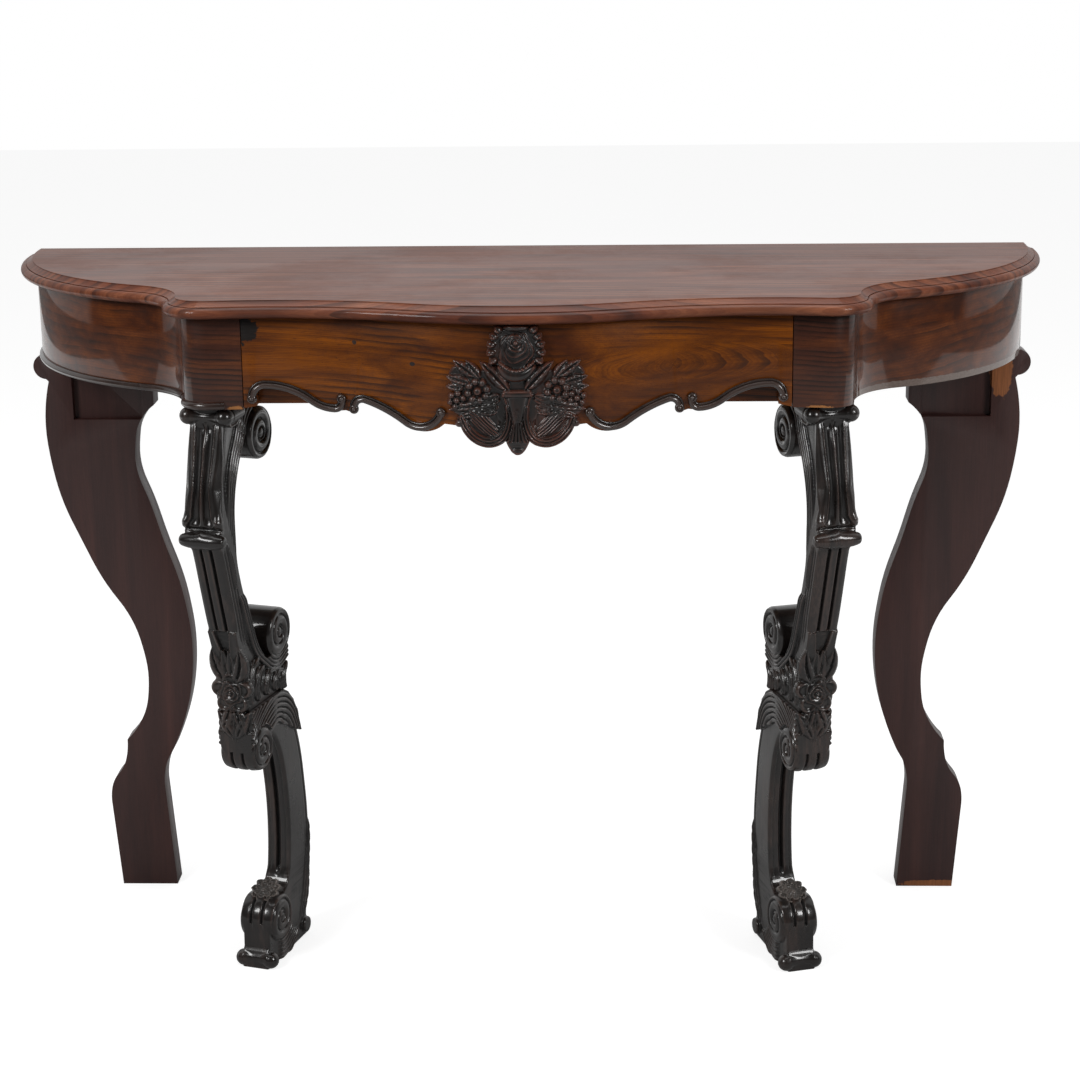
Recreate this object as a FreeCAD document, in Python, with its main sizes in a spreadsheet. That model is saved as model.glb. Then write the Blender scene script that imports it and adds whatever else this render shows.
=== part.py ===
"""Serpentine pier table with a concealed frieze drawer and carved scroll legs.

Frame: +Z up, +X to the sitter's right, -Y to the front. The origin is on the floor, under the
middle of the table. All sizes are millimetres and come from the sheet called sizes.
"""
import FreeCAD, Part
import math
import os

import Sketcher
from FreeCAD import Placement, Rotation, Vector

DOC = FreeCAD.newDocument("pier_table")

SIZES = [
    # whole table
    ("table_height", 840, "floor to the flat of the top"),
    ("back_y", 224, "wall side of the top"),
    ("front_y", -209.6, "flat of the top at the middle of the bow"),
    # top
    ("board_thick", 19, "finished thickness of the top boards"),
    ("glue_joint_y", 96, "joint between the rear and the front board"),
    ("edge_roll_radius", 6.2, "half-round roll under the top's edge"),
    ("edge_overhang", 14.4, "roll's reach beyond the flat of the top"),
    # serpentine plan of the top's flat, as arcs from the middle of the front to the side
    ("bow_radius", 345, "middle bow"),
    ("bow_turn", 19.5, "heading where the bow ends"),
    ("hollow_radius", 468, "hollow beside the bow"),
    ("hollow_turn", -8.5, "heading where the hollow ends"),
    ("corner_radius", 35, "rounded corner over the front leg"),
    ("corner_turn", 86, "heading where the corner ends"),
    ("cove_radius", 88, "cove behind the corner"),
    ("cove_turn", 23, "heading where the cove ends"),
    ("end_radius", 298, "swept end"),
    ("end_turn", 90, "heading where the end meets the wall"),
    # apron
    ("apron_bottom", 716, "underside of the apron"),
    ("apron_inset", 5, "apron face behind the flat of the top"),
    ("wing_thick", 22, "side apron"),
    ("stile_inner_x", 305.5, "side of the drawer opening"),
    ("stile_back_y", -111, "joint between stile and side apron"),
    ("bead_rise", 8.5, "bead under the left apron"),
    ("bead_proud", 3.8, "bead in front of the apron"),
    ("bead_end_x", -324, "end of the bead on the stile"),
    ("back_rail_thick", 22, "back rail"),
    ("back_rail_y", 198, "front of the back rail"),
    ("back_rail_half", 592, "half length of the back rail before it is scribed to the side aprons"),
    # carcase rails
    ("rail_front_y", -132, "front edge of both front rails"),
    ("rail_depth", 66, "front rails"),
    ("low_rail_thick", 20, "rail under the drawer"),
    ("top_rail_thick", 16, "rail over the drawer"),
    ("runner_width", 34, "drawer runners and kickers"),
    ("guide_width", 12, "drawer guides"),
    ("guide_height", 24, "drawer guides"),
    # drawer
    ("drawer_half", 304.6, "half width of the drawer front"),
    ("drawer_front_thick", 24, "drawer front"),
    ("drawer_front_top", 818.4, "top edge of the drawer front"),
    ("drawer_side_x", 292.4, "outer face of the drawer side"),
    ("drawer_side_thick", 11, "drawer sides"),
    ("drawer_low", 737.4, "lower edge of the drawer sides"),
    ("drawer_side_height", 64, "drawer sides"),
    ("drawer_root_y", -135, "front shoulder of the drawer sides"),
    ("drawer_tail", 14, "length of the lapped dovetails"),
    ("drawer_end_y", 150, "back of the drawer box"),
    ("drawer_back_thick", 11, "drawer back"),
    ("drawer_panel_thick", 6, "drawer bottom"),
    ("drawer_panel_rise", 6, "drawer bottom above the edge of the sides"),
    ("drawer_groove", 5, "depth of the grooves for the drawer bottom"),
    ("stop_wide", 12, "drawer stops"),
    ("stop_gap", 1, "play between the closed drawer and its stops"),
    ("glue_block", 26, "glue blocks, along and across"),
    ("glue_block_rise", 42, "glue blocks, height"),
    # scroll mouldings on the drawer front
    ("moulding_wide", 4.6, "half width of the lower step"),
    ("moulding_low", 3.4, "height of the lower step"),
    ("moulding_narrow", 2.4, "half width of the upper step"),
    ("moulding_high", 6, "height of the upper step"),
    ("eye_radius", 5.6, "turned eye that ends a moulding"),
    ("eye_proud", 4.8, "turned eye, height"),
    ("pip_radius", 3.4, "pip in the middle of the eye"),
    ("pip_proud", 7, "pip in the middle of the eye, height"),
    # rear legs
    ("rear_leg_front_y", 166, "front face of the rear legs"),
    ("rear_leg_thick", 32, "rear leg board"),
    ("rear_leg_top", 818, "top of the rear leg behind the apron"),
    ("post_wide", 87, "housing and rear post"),
    ("post_outer_x", 574, "outer side of the rear post"),
    ("post_depth", 44, "rear post"),
    ("housing_depth", 10, "housing in the rear leg"),
    ("housing_bottom", 632, "ledge of the housing"),
    # front legs: a point of the sole's front edge and the turn of the leg's plane
    ("leg_x", 333, "front leg, toe"),
    ("leg_y", -87, "front leg, toe"),
    ("leg_splay", 17, "turn of the front leg's plane"),
    ("leg_joint_rise", 342, "joint between the upper and the lower scroll"),
    ("upper_wide", 40, "upper scroll"),
    ("lower_wide", 28, "lower scroll"),
    ("volute_wide", 48, "volutes"),
    ("flute_wide", 3, "flutes on the front of the scrolls"),
    ("flute_deep", 5, "flutes on the front of the scrolls"),
    ("eye_deep", 3, "sunk spiral in the volutes"),
    ("groove_wide", 3.4, "sunk spiral in the volutes"),
    ("capital_roll", 9, "rolls of the capital, radius"),
    ("capital_roll_long", 34, "rolls of the capital, front to back"),
    ("capital_roll_apart", 20, "rolls of the capital, either side of the leg's middle"),
    ("capital_roll_back", -38, "rear end of the capital's rolls, behind the toe"),
    ("capital_roll_rise", 706.5, "axis of the capital's rolls"),
    ("dowel_radius", 6, "leg dowels, across the corners"),
    ("dowel_long", 60, "leg dowels"),
    ("dowel_back", -45, "leg dowels, behind the toe"),
    ("dowel_apart", 10, "leg dowels, either side of the leg's middle"),
    ("rosette_back", 38, "middle of the foot rosette, behind the toe"),
    ("rosette_rise", 88, "middle of the foot rosette"),
    ("rosette_tilt", 58, "lean of the foot rosette on the foot volute"),
    # fixings
    ("pin_flats", 6, "flats of the riven dowels and of the hand-cut screws"),
    ("screw_radius", 2, "top fixing screws, shank"),
    ("screw_head_radius", 4, "top fixing screws, head"),
    ("screw_head_thick", 2, "top fixing screws, sunk head"),
    ("screw_long", 26, "top fixing screws"),
]

SHEET = DOC.addObject("Spreadsheet::Sheet", "sizes")
for row, (alias, number, note) in enumerate(SIZES, start=1):
    SHEET.set("A%d" % row, alias)
    SHEET.set("B%d" % row, str(number))
    SHEET.set("C%d" % row, note)
    SHEET.setAlias("B%d" % row, alias)
DOC.recompute()

NODES = []


def size(alias):
    """A driving dimension, read from the sheet."""
    return float(SHEET.get(alias))


def keep(item, label):
    """Give an object the name of its node and list it for the hand-over files."""
    item.Label = label
    NODES.append(item)
    return item


# ---- paths made of tangent arcs -------------------------------------------------------------

# Leans below this angle, in radians, are drawn as straight lines
STRAIGHT = 0.012


def arc_chain(start, heading, turns, shift=0.0):
    """Tangent arcs as (first, middle, last) points.

    turns holds (radius, new heading); shift moves the whole path to its left-hand side.
    """
    x, y = start
    arcs = []
    for radius, new_heading in turns:
        first, last = math.radians(heading), math.radians(new_heading)
        side = 1 if last > first else -1
        cx = x - side * radius * math.sin(first)
        cy = y + side * radius * math.cos(first)
        reach = side * radius - shift

        def at(angle):
            return (cx + reach * math.sin(angle), cy - reach * math.cos(angle))

        arcs.append((at(first), at((first + last) / 2), at(last)))
        x = cx + side * radius * math.sin(last)
        y = cy - side * radius * math.cos(last)
        heading = new_heading
    return arcs


def turned_back(path):
    """The same path, run from its end to its start."""
    return [tuple(reversed(piece)) for piece in reversed(path)]


def mirrored(path):
    """The path's mirror image across the middle of the table, run the other way."""
    return turned_back([tuple((-x, y) for x, y in piece) for piece in path])


def closed(*paths):
    """Join paths end to end with straight lines into one closed outline."""
    outline = []
    for path in paths:
        if outline and math.dist(outline[-1][-1], path[0][0]) > 1e-6:
            outline.append((outline[-1][-1], path[0][0]))
        outline.extend(path)
    if math.dist(outline[-1][-1], outline[0][0]) > 1e-6:
        outline.append((outline[-1][-1], outline[0][0]))
    return outline


def polygon(*points):
    """Straight pieces through the points."""
    return [(first, last) for first, last in zip(points, points[1:])]


def curve(piece):
    """Line or arc through the points of one piece of a path."""
    points = [Vector(x, y, 0) for x, y in piece]
    return Part.LineSegment(*points) if len(points) == 2 else Part.Arc(*points)


def flats(piece, count):
    """An arc worked as a number of flats."""
    arc = curve(piece)
    return polygon(*[(point.x, point.y) for point in arc.discretize(Number=count + 1)])


def worked(path, slack=0.25):
    """A path whose arcs are worked in flats that leave them by no more than the slack."""
    cut = []
    for piece in path:
        arc = curve(piece).toShape()
        turn = arc.Length / arc.Curve.Radius
        step = 2 * math.acos(1 - slack / arc.Curve.Radius)
        cut += flats(piece, max(2, math.ceil(turn / step)))
    return cut


def leaving(first, last, heading):
    """The arc between two points that leaves the first one along a heading."""
    chord = math.atan2(last[1] - first[1], last[0] - first[0])
    lean = math.remainder(heading - chord, 2 * math.pi)
    if abs(lean) < STRAIGHT:
        return (first, last)
    bulge = math.dist(first, last) / 2 * math.tan(lean / 2)
    middle = ((first[0] + last[0]) / 2 - bulge * math.sin(chord),
              (first[1] + last[1]) / 2 + bulge * math.cos(chord))
    return (first, middle, last)


def arc_pair(first, last, heading, ending):
    """Two tangent arcs that leave one point along a heading and reach another along its own."""
    start = Vector(math.cos(heading), math.sin(heading), 0)
    end = Vector(math.cos(ending), math.sin(ending), 0)
    span = Vector(last[0] - first[0], last[1] - first[1], 0)
    along = span.dot(start + end)
    bend = 2 * (1 - start.dot(end))
    reach = span.Length ** 2 / (2 * along)
    if bend > 1e-6:
        reach = (math.sqrt(along ** 2 + bend * span.Length ** 2) - along) / bend
    meet = (Vector(first[0] + last[0], first[1] + last[1], 0) + (start - end) * reach) / 2
    joint = (meet.x, meet.y)
    onward = 2 * math.atan2(last[1] - joint[1], last[0] - joint[0]) - ending
    return [leaving(first, joint, heading), leaving(joint, last, onward)]


def through(points):
    """A smooth line through points, made of tangent arcs."""
    steps = list(zip(points, points[1:]))
    leans = [math.atan2(last[1] - first[1], last[0] - first[0]) for first, last in steps]
    lengths = [math.dist(first, last) for first, last in steps]
    headings = []
    for lean, after, length, next_length in zip(leans, leans[1:], lengths, lengths[1:]):
        turn = math.remainder(after - lean, 2 * math.pi)
        headings.append(lean + turn * length / (length + next_length))
    headings = [2 * leans[0] - headings[0]] + headings + [2 * leans[-1] - headings[-1]]
    path = []
    for (first, last), heading, ending in zip(steps, headings, headings[1:]):
        path += arc_pair(first, last, heading, ending)
    return path


def plan_path(inset):
    """Right half of the serpentine plan, from the middle of the front to the wall."""
    names = ("bow", "hollow", "corner", "cove", "end")
    turns = [(size(name + "_radius"), size(name + "_turn")) for name in names]
    path = arc_chain((0, size("front_y")), 0, turns, inset)
    side_x, side_y = path[-1][-1]
    path.append(((side_x, side_y), (side_x, size("back_y"))))
    return path


# ---- PartDesign helpers ---------------------------------------------------------------------


def new_body(name):
    """An empty body."""
    return DOC.addObject("PartDesign::Body", name)


def sketch_on(body, plane, outlines, offset=0.0):
    """A sketch of fixed curves on one of the body's own planes, moved along its normal."""
    sketch = body.newObject("Sketcher::SketchObject", body.Name + "_sketch")
    origin = [item for item in body.Origin.OriginFeatures if item.Role == plane][0]
    sketch.AttachmentSupport = [(origin, "")]
    sketch.MapMode = "FlatFace"
    sketch.AttachmentOffset = Placement(Vector(0, 0, offset), Rotation())
    for outline in outlines:
        for piece in outline:
            index = sketch.addGeometry(curve(piece), False)
            sketch.addConstraint(Sketcher.Constraint("Block", index))
    return sketch


def pad(body, sketch, length, middle=False, turned=False):
    """Pad a sketch by an expression."""
    feature = body.newObject("PartDesign::Pad", body.Name + "_pad")
    feature.Profile = sketch
    feature.setExpression("Length", length)
    feature.Midplane = middle
    feature.Reversed = turned
    DOC.recompute()
    return feature


def pocket(body, sketch, length, middle=False, turned=False):
    """Cut a sketch out of the body by an expression, and see that it removed wood."""
    before = body.Shape.Volume
    feature = body.newObject("PartDesign::Pocket", body.Name + "_pocket")
    feature.Profile = sketch
    feature.setExpression("Length", length)
    feature.Midplane = middle
    feature.Reversed = turned
    DOC.recompute()
    if body.Shape.Volume >= before - 1:
        raise RuntimeError("the pocket in %s cuts nothing" % body.Name)
    return feature


def box(name, corner, lengths, label=None):
    """A rectangular board: the expressions of its low corner and of its three lengths."""
    item = DOC.addObject("Part::Box", name)
    for side, length in zip(("Length", "Width", "Height"), lengths):
        item.setExpression(side, length)
    for axis, place in zip("xyz", corner):
        item.setExpression(".Placement.Base." + axis, place)
    DOC.recompute()
    return keep(item, label) if label else item


def boolean(kind, name, first, second, label=None):
    """Part::Cut or Part::Common of two objects."""
    item = DOC.addObject("Part::" + kind, name)
    item.Base = first
    item.Tool = second
    DOC.recompute()
    return keep(item, label) if label else item


def united(name, items, label=None, apart=False):
    """Several objects in one: fused, or kept as separate solids."""
    item = DOC.addObject("Part::Compound" if apart else "Part::MultiFuse", name)
    if apart:
        item.Links = items
    else:
        item.Shapes = items
        item.Refine = True
    DOC.recompute()
    return keep(item, label) if label else item


def max_solid(item, name):
    """The largest solid of an object, without the offcuts."""
    whole = DOC.addObject("Part::Feature", name)
    whole.Shape = max(item.Shape.Solids, key=lambda solid: solid.Volume)
    if whole.Shape.Volume < 0.9 * item.Shape.Volume:
        raise RuntimeError("%s is not mainly one solid" % name)
    return whole


def ring_body(name, outer, inner, low, height):
    """Right half of a serpentine band between two insets, as a body on its level."""
    body = new_body(name)
    outline = closed(plan_path(outer), turned_back(plan_path(inner)))
    pad(body, sketch_on(body, "XY_Plane", [outline]), height)
    body.setExpression(".Placement.Base.z", low)
    DOC.recompute()
    return body


def both_sides(name, item, label_right, label_left):
    """A right-hand piece and its mirror image across the middle of the table."""
    keep(item, label_right)
    mirror = DOC.addObject("Part::Mirroring", name + "_mirror")
    mirror.Source = item
    mirror.Normal = Vector(1, 0, 0)
    DOC.recompute()
    return item, keep(mirror, label_left)


# ---- top ------------------------------------------------------------------------------------


def table_top(screw_holes):
    """Two boards glued edge to edge, with a cove and a half-round roll worked on the edge."""
    body = new_body("top_blank")
    half = plan_path(0)
    outline = closed(half, mirrored(half))
    pad(body, sketch_on(body, "XY_Plane", [outline]), "sizes.board_thick")

    roll, reach = size("edge_roll_radius"), size("edge_overhang")
    thick = size("board_thick")
    overlap, step, cove_rise = 4.0, 1.2, 4.6
    roll_flats, cove_flats = 5, 2
    neck = reach - roll
    side_x = half[-1][0][0]
    # edge profile: x runs inwards from the left-hand side, y is the height above the underside
    profile = closed(
        polygon((overlap, 0), (-neck, 0)),
        flats(((-neck, 0), (-reach, roll), (-neck, 2 * roll)), roll_flats),
        flats(((-neck, 2 * roll), (-neck * 0.45, thick - step - cove_rise * 0.45), (0, thick - step)),
              cove_flats),
        polygon((0, thick - step), (0, thick), (overlap, thick)),
    )
    profile = [tuple((x - side_x, y) for x, y in piece) for piece in profile]
    section = sketch_on(body, "XZ_Plane", [profile], -size("back_y"))
    spine = sketch_on(body, "XY_Plane", [mirrored(half) + half])
    edge = body.newObject("PartDesign::AdditivePipe", "top_edge")
    edge.Profile = section
    edge.Spine = spine
    edge.Mode = "Standard"
    edge.Transition = "Transformed"
    body.setExpression(".Placement.Base.z", "sizes.table_height - sizes.board_thick")
    DOC.recompute()

    drilled = boolean("Cut", "top_drilled", body, screw_holes)
    reach_x = side_x + reach + 10
    span = str(2 * reach_x)
    level = "sizes.table_height - sizes.board_thick - 1"
    rear = box("rear_part", (str(-reach_x), "sizes.glue_joint_y", level),
               (span, "sizes.back_y - sizes.glue_joint_y", "sizes.board_thick + 2"))
    front = box("front_part", (str(-reach_x), "sizes.front_y - 30", level),
                (span, "sizes.glue_joint_y - sizes.front_y + 30", "sizes.board_thick + 2"))
    boolean("Common", "rear_board", drilled, rear, "top_rear_board")
    boolean("Common", "front_board", drilled, front, "top_front_board")


# ---- apron ----------------------------------------------------------------------------------

UNDER_TOP = "sizes.table_height - sizes.board_thick"
APRON_HEIGHT = UNDER_TOP + " - sizes.apron_bottom"


def side_aprons():
    """Curved side aprons, from the stile to the wall."""
    inset = size("apron_inset")
    band = ring_body("wing_band", inset, inset + size("wing_thick"), "sizes.apron_bottom", APRON_HEIGHT)
    region = box("wing_region", ("300", "sizes.stile_back_y", "sizes.apron_bottom - 5"),
                 ("400", "sizes.back_y - 2 - sizes.stile_back_y", APRON_HEIGHT + " + 10"))
    wing = boolean("Common", "side_apron", band, region)
    return both_sides("side_apron", wing, "side_apron_right", "side_apron_left")


def stiles(dowels):
    """Solid corner blocks over the front legs, bored for the leg dowels."""
    body = new_body("stile_blank")
    outline = closed(plan_path(size("apron_inset")), polygon((0, size("back_y")), (0, size("back_y") - 1)))
    pad(body, sketch_on(body, "XY_Plane", [outline]), APRON_HEIGHT)
    body.setExpression(".Placement.Base.z", "sizes.apron_bottom")
    region = box("stile_region", ("sizes.stile_inner_x", "sizes.front_y", "sizes.apron_bottom - 5"),
                 ("120", "sizes.stile_back_y - sizes.front_y", APRON_HEIGHT + " + 10"))
    solid = boolean("Common", "stile_solid", body, region)
    stile = boolean("Cut", "stile", solid, dowels)
    both_sides("stile", stile, "stile_right", "stile_left")


def side_beads():
    """The bead that is left under the left-hand side apron and stile."""
    proud, rise = size("bead_proud"), size("bead_rise")
    path = mirrored(plan_path(size("apron_inset")))
    face_x = path[0][0][0]
    body = new_body("bead_run")
    bead_flats = 4
    profile = closed(flats(((face_x, 0), (face_x - proud, rise / 2), (face_x, rise)), bead_flats))
    bead = body.newObject("PartDesign::AdditivePipe", "bead_sweep")
    bead.Profile = sketch_on(body, "XZ_Plane", [profile], -size("back_y"))
    bead.Spine = sketch_on(body, "XY_Plane", [path])
    body.setExpression(".Placement.Base.z", "sizes.apron_bottom")
    DOC.recompute()
    level, height = "sizes.apron_bottom - 5", "sizes.bead_rise + 10"
    side = box("bead_side_region", ("-700", "sizes.stile_back_y", level),
               ("400", "sizes.back_y - 2 - sizes.stile_back_y", height))
    corner = box("bead_corner_region", ("-700", "sizes.front_y - 30", level),
                 ("700 + sizes.bead_end_x", "sizes.stile_back_y - sizes.front_y + 30", height))
    boolean("Common", "bead_side", body, side, "side_bead_left")
    boolean("Common", "bead_corner", body, corner, "stile_bead_left")


def carcase_rails(side_apron, side_apron_mirror):
    """Back rail scribed to the side aprons, both front rails, runners and guides."""
    width = "2 * sizes.stile_inner_x"
    back = ("sizes.back_rail_y", "sizes.back_rail_thick")
    rail = box("back_rail_blank", ("-sizes.back_rail_half", back[0], "sizes.apron_bottom"),
               ("2 * sizes.back_rail_half", back[1], APRON_HEIGHT))
    for index, apron in enumerate((side_apron, side_apron_mirror)):
        rail = boolean("Cut", "back_rail_%d" % index, rail, apron)
    keep(max_solid(rail, "back_rail_scribed"), "back_rail")
    box("low_rail", ("-sizes.stile_inner_x", "sizes.rail_front_y", "sizes.apron_bottom + 1"),
        (width, "sizes.rail_depth", "sizes.low_rail_thick"), "front_bottom_rail")
    box("top_rail", ("-sizes.stile_inner_x", "sizes.rail_front_y", UNDER_TOP + " - sizes.top_rail_thick"),
        (width, "sizes.rail_depth", "sizes.top_rail_thick"), "front_top_rail")
    behind = "sizes.rail_front_y + sizes.rail_depth"
    run = "sizes.back_rail_y - sizes.rail_front_y - sizes.rail_depth"
    inner = "sizes.stile_inner_x - sizes.runner_width"
    runner = box("runner", (inner, behind, "sizes.apron_bottom + 1"),
                 ("sizes.runner_width", run, "sizes.low_rail_thick"))
    both_sides("runner", runner, "drawer_runner_right", "drawer_runner_left")
    guide = box("guide", ("sizes.stile_inner_x - sizes.guide_width + 0.5", behind,
                          "sizes.apron_bottom + 1 + sizes.low_rail_thick"),
                ("sizes.guide_width - 0.5", run, "sizes.guide_height"))
    both_sides("guide", guide, "drawer_guide_right", "drawer_guide_left")


def pin(name, radius, length, place):
    """A peg or shank with flat sides, standing up from a point."""
    item = DOC.addObject("Part::Prism", name)
    item.Polygon = int(size("pin_flats"))
    item.setExpression("Circumradius", radius)
    item.setExpression("Height", length)
    item.Placement.Base = place
    return item


# Rows of the top's screws, from the front
SCREW_ROWS = (-20, 70, 160)


def kickers(screws):
    """Strips over the drawer sides that keep it level, screwed up into the top."""
    behind = "sizes.rail_front_y + sizes.rail_depth"
    run = "sizes.back_rail_y - sizes.rail_front_y - sizes.rail_depth"
    blank = box("kicker_blank", ("sizes.stile_inner_x - sizes.runner_width", behind,
                                 UNDER_TOP + " - sizes.top_rail_thick"),
                ("sizes.runner_width", run, "sizes.top_rail_thick"))
    kicker = boolean("Cut", "kicker", blank, screws)
    both_sides("kicker", kicker, "kicker_right", "kicker_left")


def top_screws():
    """Screws through the kickers into the top, heads down and let in."""
    screws = []
    head_level = size("table_height") - size("board_thick") - size("top_rail_thick")
    for side in (-1, 1):
        for index, y in enumerate(SCREW_ROWS):
            place = Vector(side * (size("stile_inner_x") - size("runner_width") / 2), y, head_level)
            name = "screw_%s%d" % ("left" if side < 0 else "right", index)
            shank = pin(name + "_shank", "sizes.screw_radius", "sizes.screw_long", place)
            head = pin(name + "_head", "sizes.screw_head_radius", "sizes.screw_head_thick", place)
            screws.append(united(name, [shank, head]))
    return united("screws", screws, "top_screws", apart=True)


# Glue blocks: bearings round the centre of the swept end, and places along the back rail
BLOCK_BEARINGS = (-40, -62)
BLOCK_PLACES = (-200, 0, 200)


def glue_blocks():
    """Blocks rubbed into the angle under the top: round the side aprons and along the back rail."""
    side, rise = size("glue_block"), size("glue_block_rise")
    level = size("table_height") - size("board_thick") - rise
    centre_x, centre_y, radius = end_arc_centre()
    inner = radius - size("apron_inset") - size("wing_thick")
    touch = math.sqrt(inner ** 2 - (side / 2) ** 2)
    places = []
    for hand in (1, -1):
        for bearing in BLOCK_BEARINGS:
            angle = math.radians(bearing)
            x = hand * (centre_x + (touch - side / 2) * math.cos(angle))
            y = centre_y + (touch - side / 2) * math.sin(angle)
            places.append((x, y, hand * bearing))
    for x in BLOCK_PLACES:
        places.append((x, size("back_rail_y") - side / 2, 0))
    blocks = []
    for index, (x, y, bearing) in enumerate(places):
        block = DOC.addObject("Part::Box", "block_%d" % index)
        block.setExpression("Length", "sizes.glue_block")
        block.setExpression("Width", "sizes.glue_block")
        block.setExpression("Height", "sizes.glue_block_rise")
        turn = Rotation(Vector(0, 0, 1), bearing)
        block.Placement = Placement(Vector(x, y, level) - turn.multVec(Vector(side / 2, side / 2, 0)), turn)
        blocks.append(block)
    united("blocks", blocks, "glue_blocks", apart=True)


def end_arc_centre():
    """Centre and radius of the swept end, in plan."""
    names = ("bow", "hollow", "corner", "cove")
    turns = [(size(name + "_radius"), size(name + "_turn")) for name in names]
    x, y = arc_chain((0, size("front_y")), 0, turns)[-1][-1]
    radius, heading = size("end_radius"), math.radians(size("cove_turn"))
    return x - radius * math.sin(heading), y + radius * math.cos(heading), radius


def drawer_stops():
    """Stops on the runners, behind the ends of the drawer sides."""
    stops = []
    for hand, x in (("right", "sizes.drawer_side_x - sizes.stop_wide"), ("left", "-sizes.drawer_side_x")):
        corner = (x, "sizes.drawer_end_y + sizes.stop_gap", "sizes.apron_bottom + 1 + sizes.low_rail_thick")
        lengths = ("sizes.stop_wide", "sizes.back_rail_y - sizes.drawer_end_y - sizes.stop_gap",
                   "sizes.stop_wide")
        stops.append(box("stop_" + hand, corner, lengths))
    united("stops", stops, "drawer_stops", apart=True)


# ---- drawer ---------------------------------------------------------------------------------

# Scroll mouldings of the right half, from the outer end: start, heading, (radius, new heading)
OUTER_SCROLL = ((295.4, 728.4), 84, [(14.6, 180), (87.9, 216.9), (43.5, 180.6), (8.2, 70)])
INNER_SCROLL = ((180.7, 718.3), 79, [(10.0, 197), (160.7, 215.3), (26.5, 110)])


def dovetail_path(front_y, rise, height, tails):
    """Zigzag of dovetails along one end of a drawer side, running upwards."""
    length = size("drawer_tail")
    pitch = height / tails
    flare = 2.5
    points = [(front_y, rise)]
    for index in range(tails):
        low = rise + pitch * (index + 0.22)
        high = rise + pitch * (index + 0.78)
        points += [(front_y, low), (front_y - length, low - flare),
                   (front_y - length, high + flare), (front_y, high)]
    points.append((front_y, rise + height))
    return points


def drawer_sides(bottom):
    """Sides with lapped dovetails at the front and a groove for the bottom."""
    body = new_body("drawer_side_blank")
    rise, height = size("drawer_low"), size("drawer_side_height")
    points = dovetail_path(size("drawer_root_y"), rise, height, 3)
    points += [(size("drawer_end_y"), rise + height), (size("drawer_end_y"), rise), points[0]]
    pad(body, sketch_on(body, "YZ_Plane", [polygon(*points)]), "sizes.drawer_side_thick")
    body.setExpression(".Placement.Base.x", "sizes.drawer_side_x - sizes.drawer_side_thick")
    side = boolean("Cut", "drawer_side", body, bottom)
    return both_sides("drawer_side", side, "drawer_side_right", "drawer_side_left")


def drawer_front_outline():
    """Elevation of the drawer front: straight top, lower edge cut to the scrolls."""
    half_x = size("drawer_half")
    top = size("drawer_front_top")
    drop = size("moulding_wide") - 1.0
    start, heading, turns = OUTER_SCROLL
    outer = arc_chain(start, heading, turns[:3], drop)
    start, heading, turns = INNER_SCROLL
    inner = arc_chain(start, heading, turns[:2], drop)
    low = inner[-1][-1]
    right = polygon((half_x, top), (half_x, 717), (290, 720), outer[0][0])
    right += outer
    right += polygon(outer[-1][-1], (190, 716), (180, 713), inner[0][0]) + inner
    right += [(low, (101, 697), (78, 707)), ((78, 707), (0, 700))]
    return closed(right, mirrored(right))


def drawer_front(sides, bottom):
    """Serpentine drawer front, recessed for the dovetails and grooved for the bottom."""
    inset = size("apron_inset")
    level = "sizes.apron_bottom - 40"
    band = ring_body("front_band_right", inset, inset + size("drawer_front_thick"), level, "160")
    mirror = DOC.addObject("Part::Mirroring", "front_band_left")
    mirror.Source = band
    mirror.Normal = Vector(1, 0, 0)
    full = united("front_band", [band, mirror])
    board = new_body("front_elevation")
    pad(board, sketch_on(board, "XZ_Plane", [drawer_front_outline()]), "300")
    front = boolean("Common", "front_shaped", full, board)
    for index, cutter in enumerate(list(sides) + [bottom]):
        front = boolean("Cut", "front_cut_%d" % index, front, cutter)
    keep(front, "drawer_front")


def drawer_box():
    """Bottom, back and sides of the drawer."""
    panel_low = "sizes.drawer_low + sizes.drawer_panel_rise"
    inner = "sizes.drawer_side_x - sizes.drawer_side_thick + sizes.drawer_groove"
    body = new_body("drawer_panel_plan")
    half = plan_path(size("apron_inset") + size("drawer_front_thick") - size("drawer_groove"))
    pad(body, sketch_on(body, "XY_Plane", [closed(half, mirrored(half))]), "sizes.drawer_panel_thick")
    body.setExpression(".Placement.Base.z", panel_low)
    trim = box("drawer_panel_trim", ("-(%s)" % inner, "sizes.front_y", panel_low + " - 1"),
               ("2 * (%s)" % inner, "sizes.drawer_end_y - 2 - sizes.front_y", "sizes.drawer_panel_thick + 2"))
    bottom = boolean("Common", "drawer_panel", body, trim, "drawer_bottom")
    clear = "sizes.drawer_side_x - sizes.drawer_side_thick"
    box("drawer_back_board", ("-(%s)" % clear, "sizes.drawer_end_y - 6 - sizes.drawer_back_thick",
                              panel_low + " + sizes.drawer_panel_thick"),
        ("2 * (%s)" % clear, "sizes.drawer_back_thick", "sizes.drawer_side_height - 18"), "drawer_back")
    sides = drawer_sides(bottom)
    return sides, bottom


# Flats round the eye of a moulding, and how deep it starts behind the drawer front's face
EYE_FLATS = 10
EYE_ROOT = 6
# Length of the upright flats that follow the bow
BAND_FLAT = 14


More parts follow.
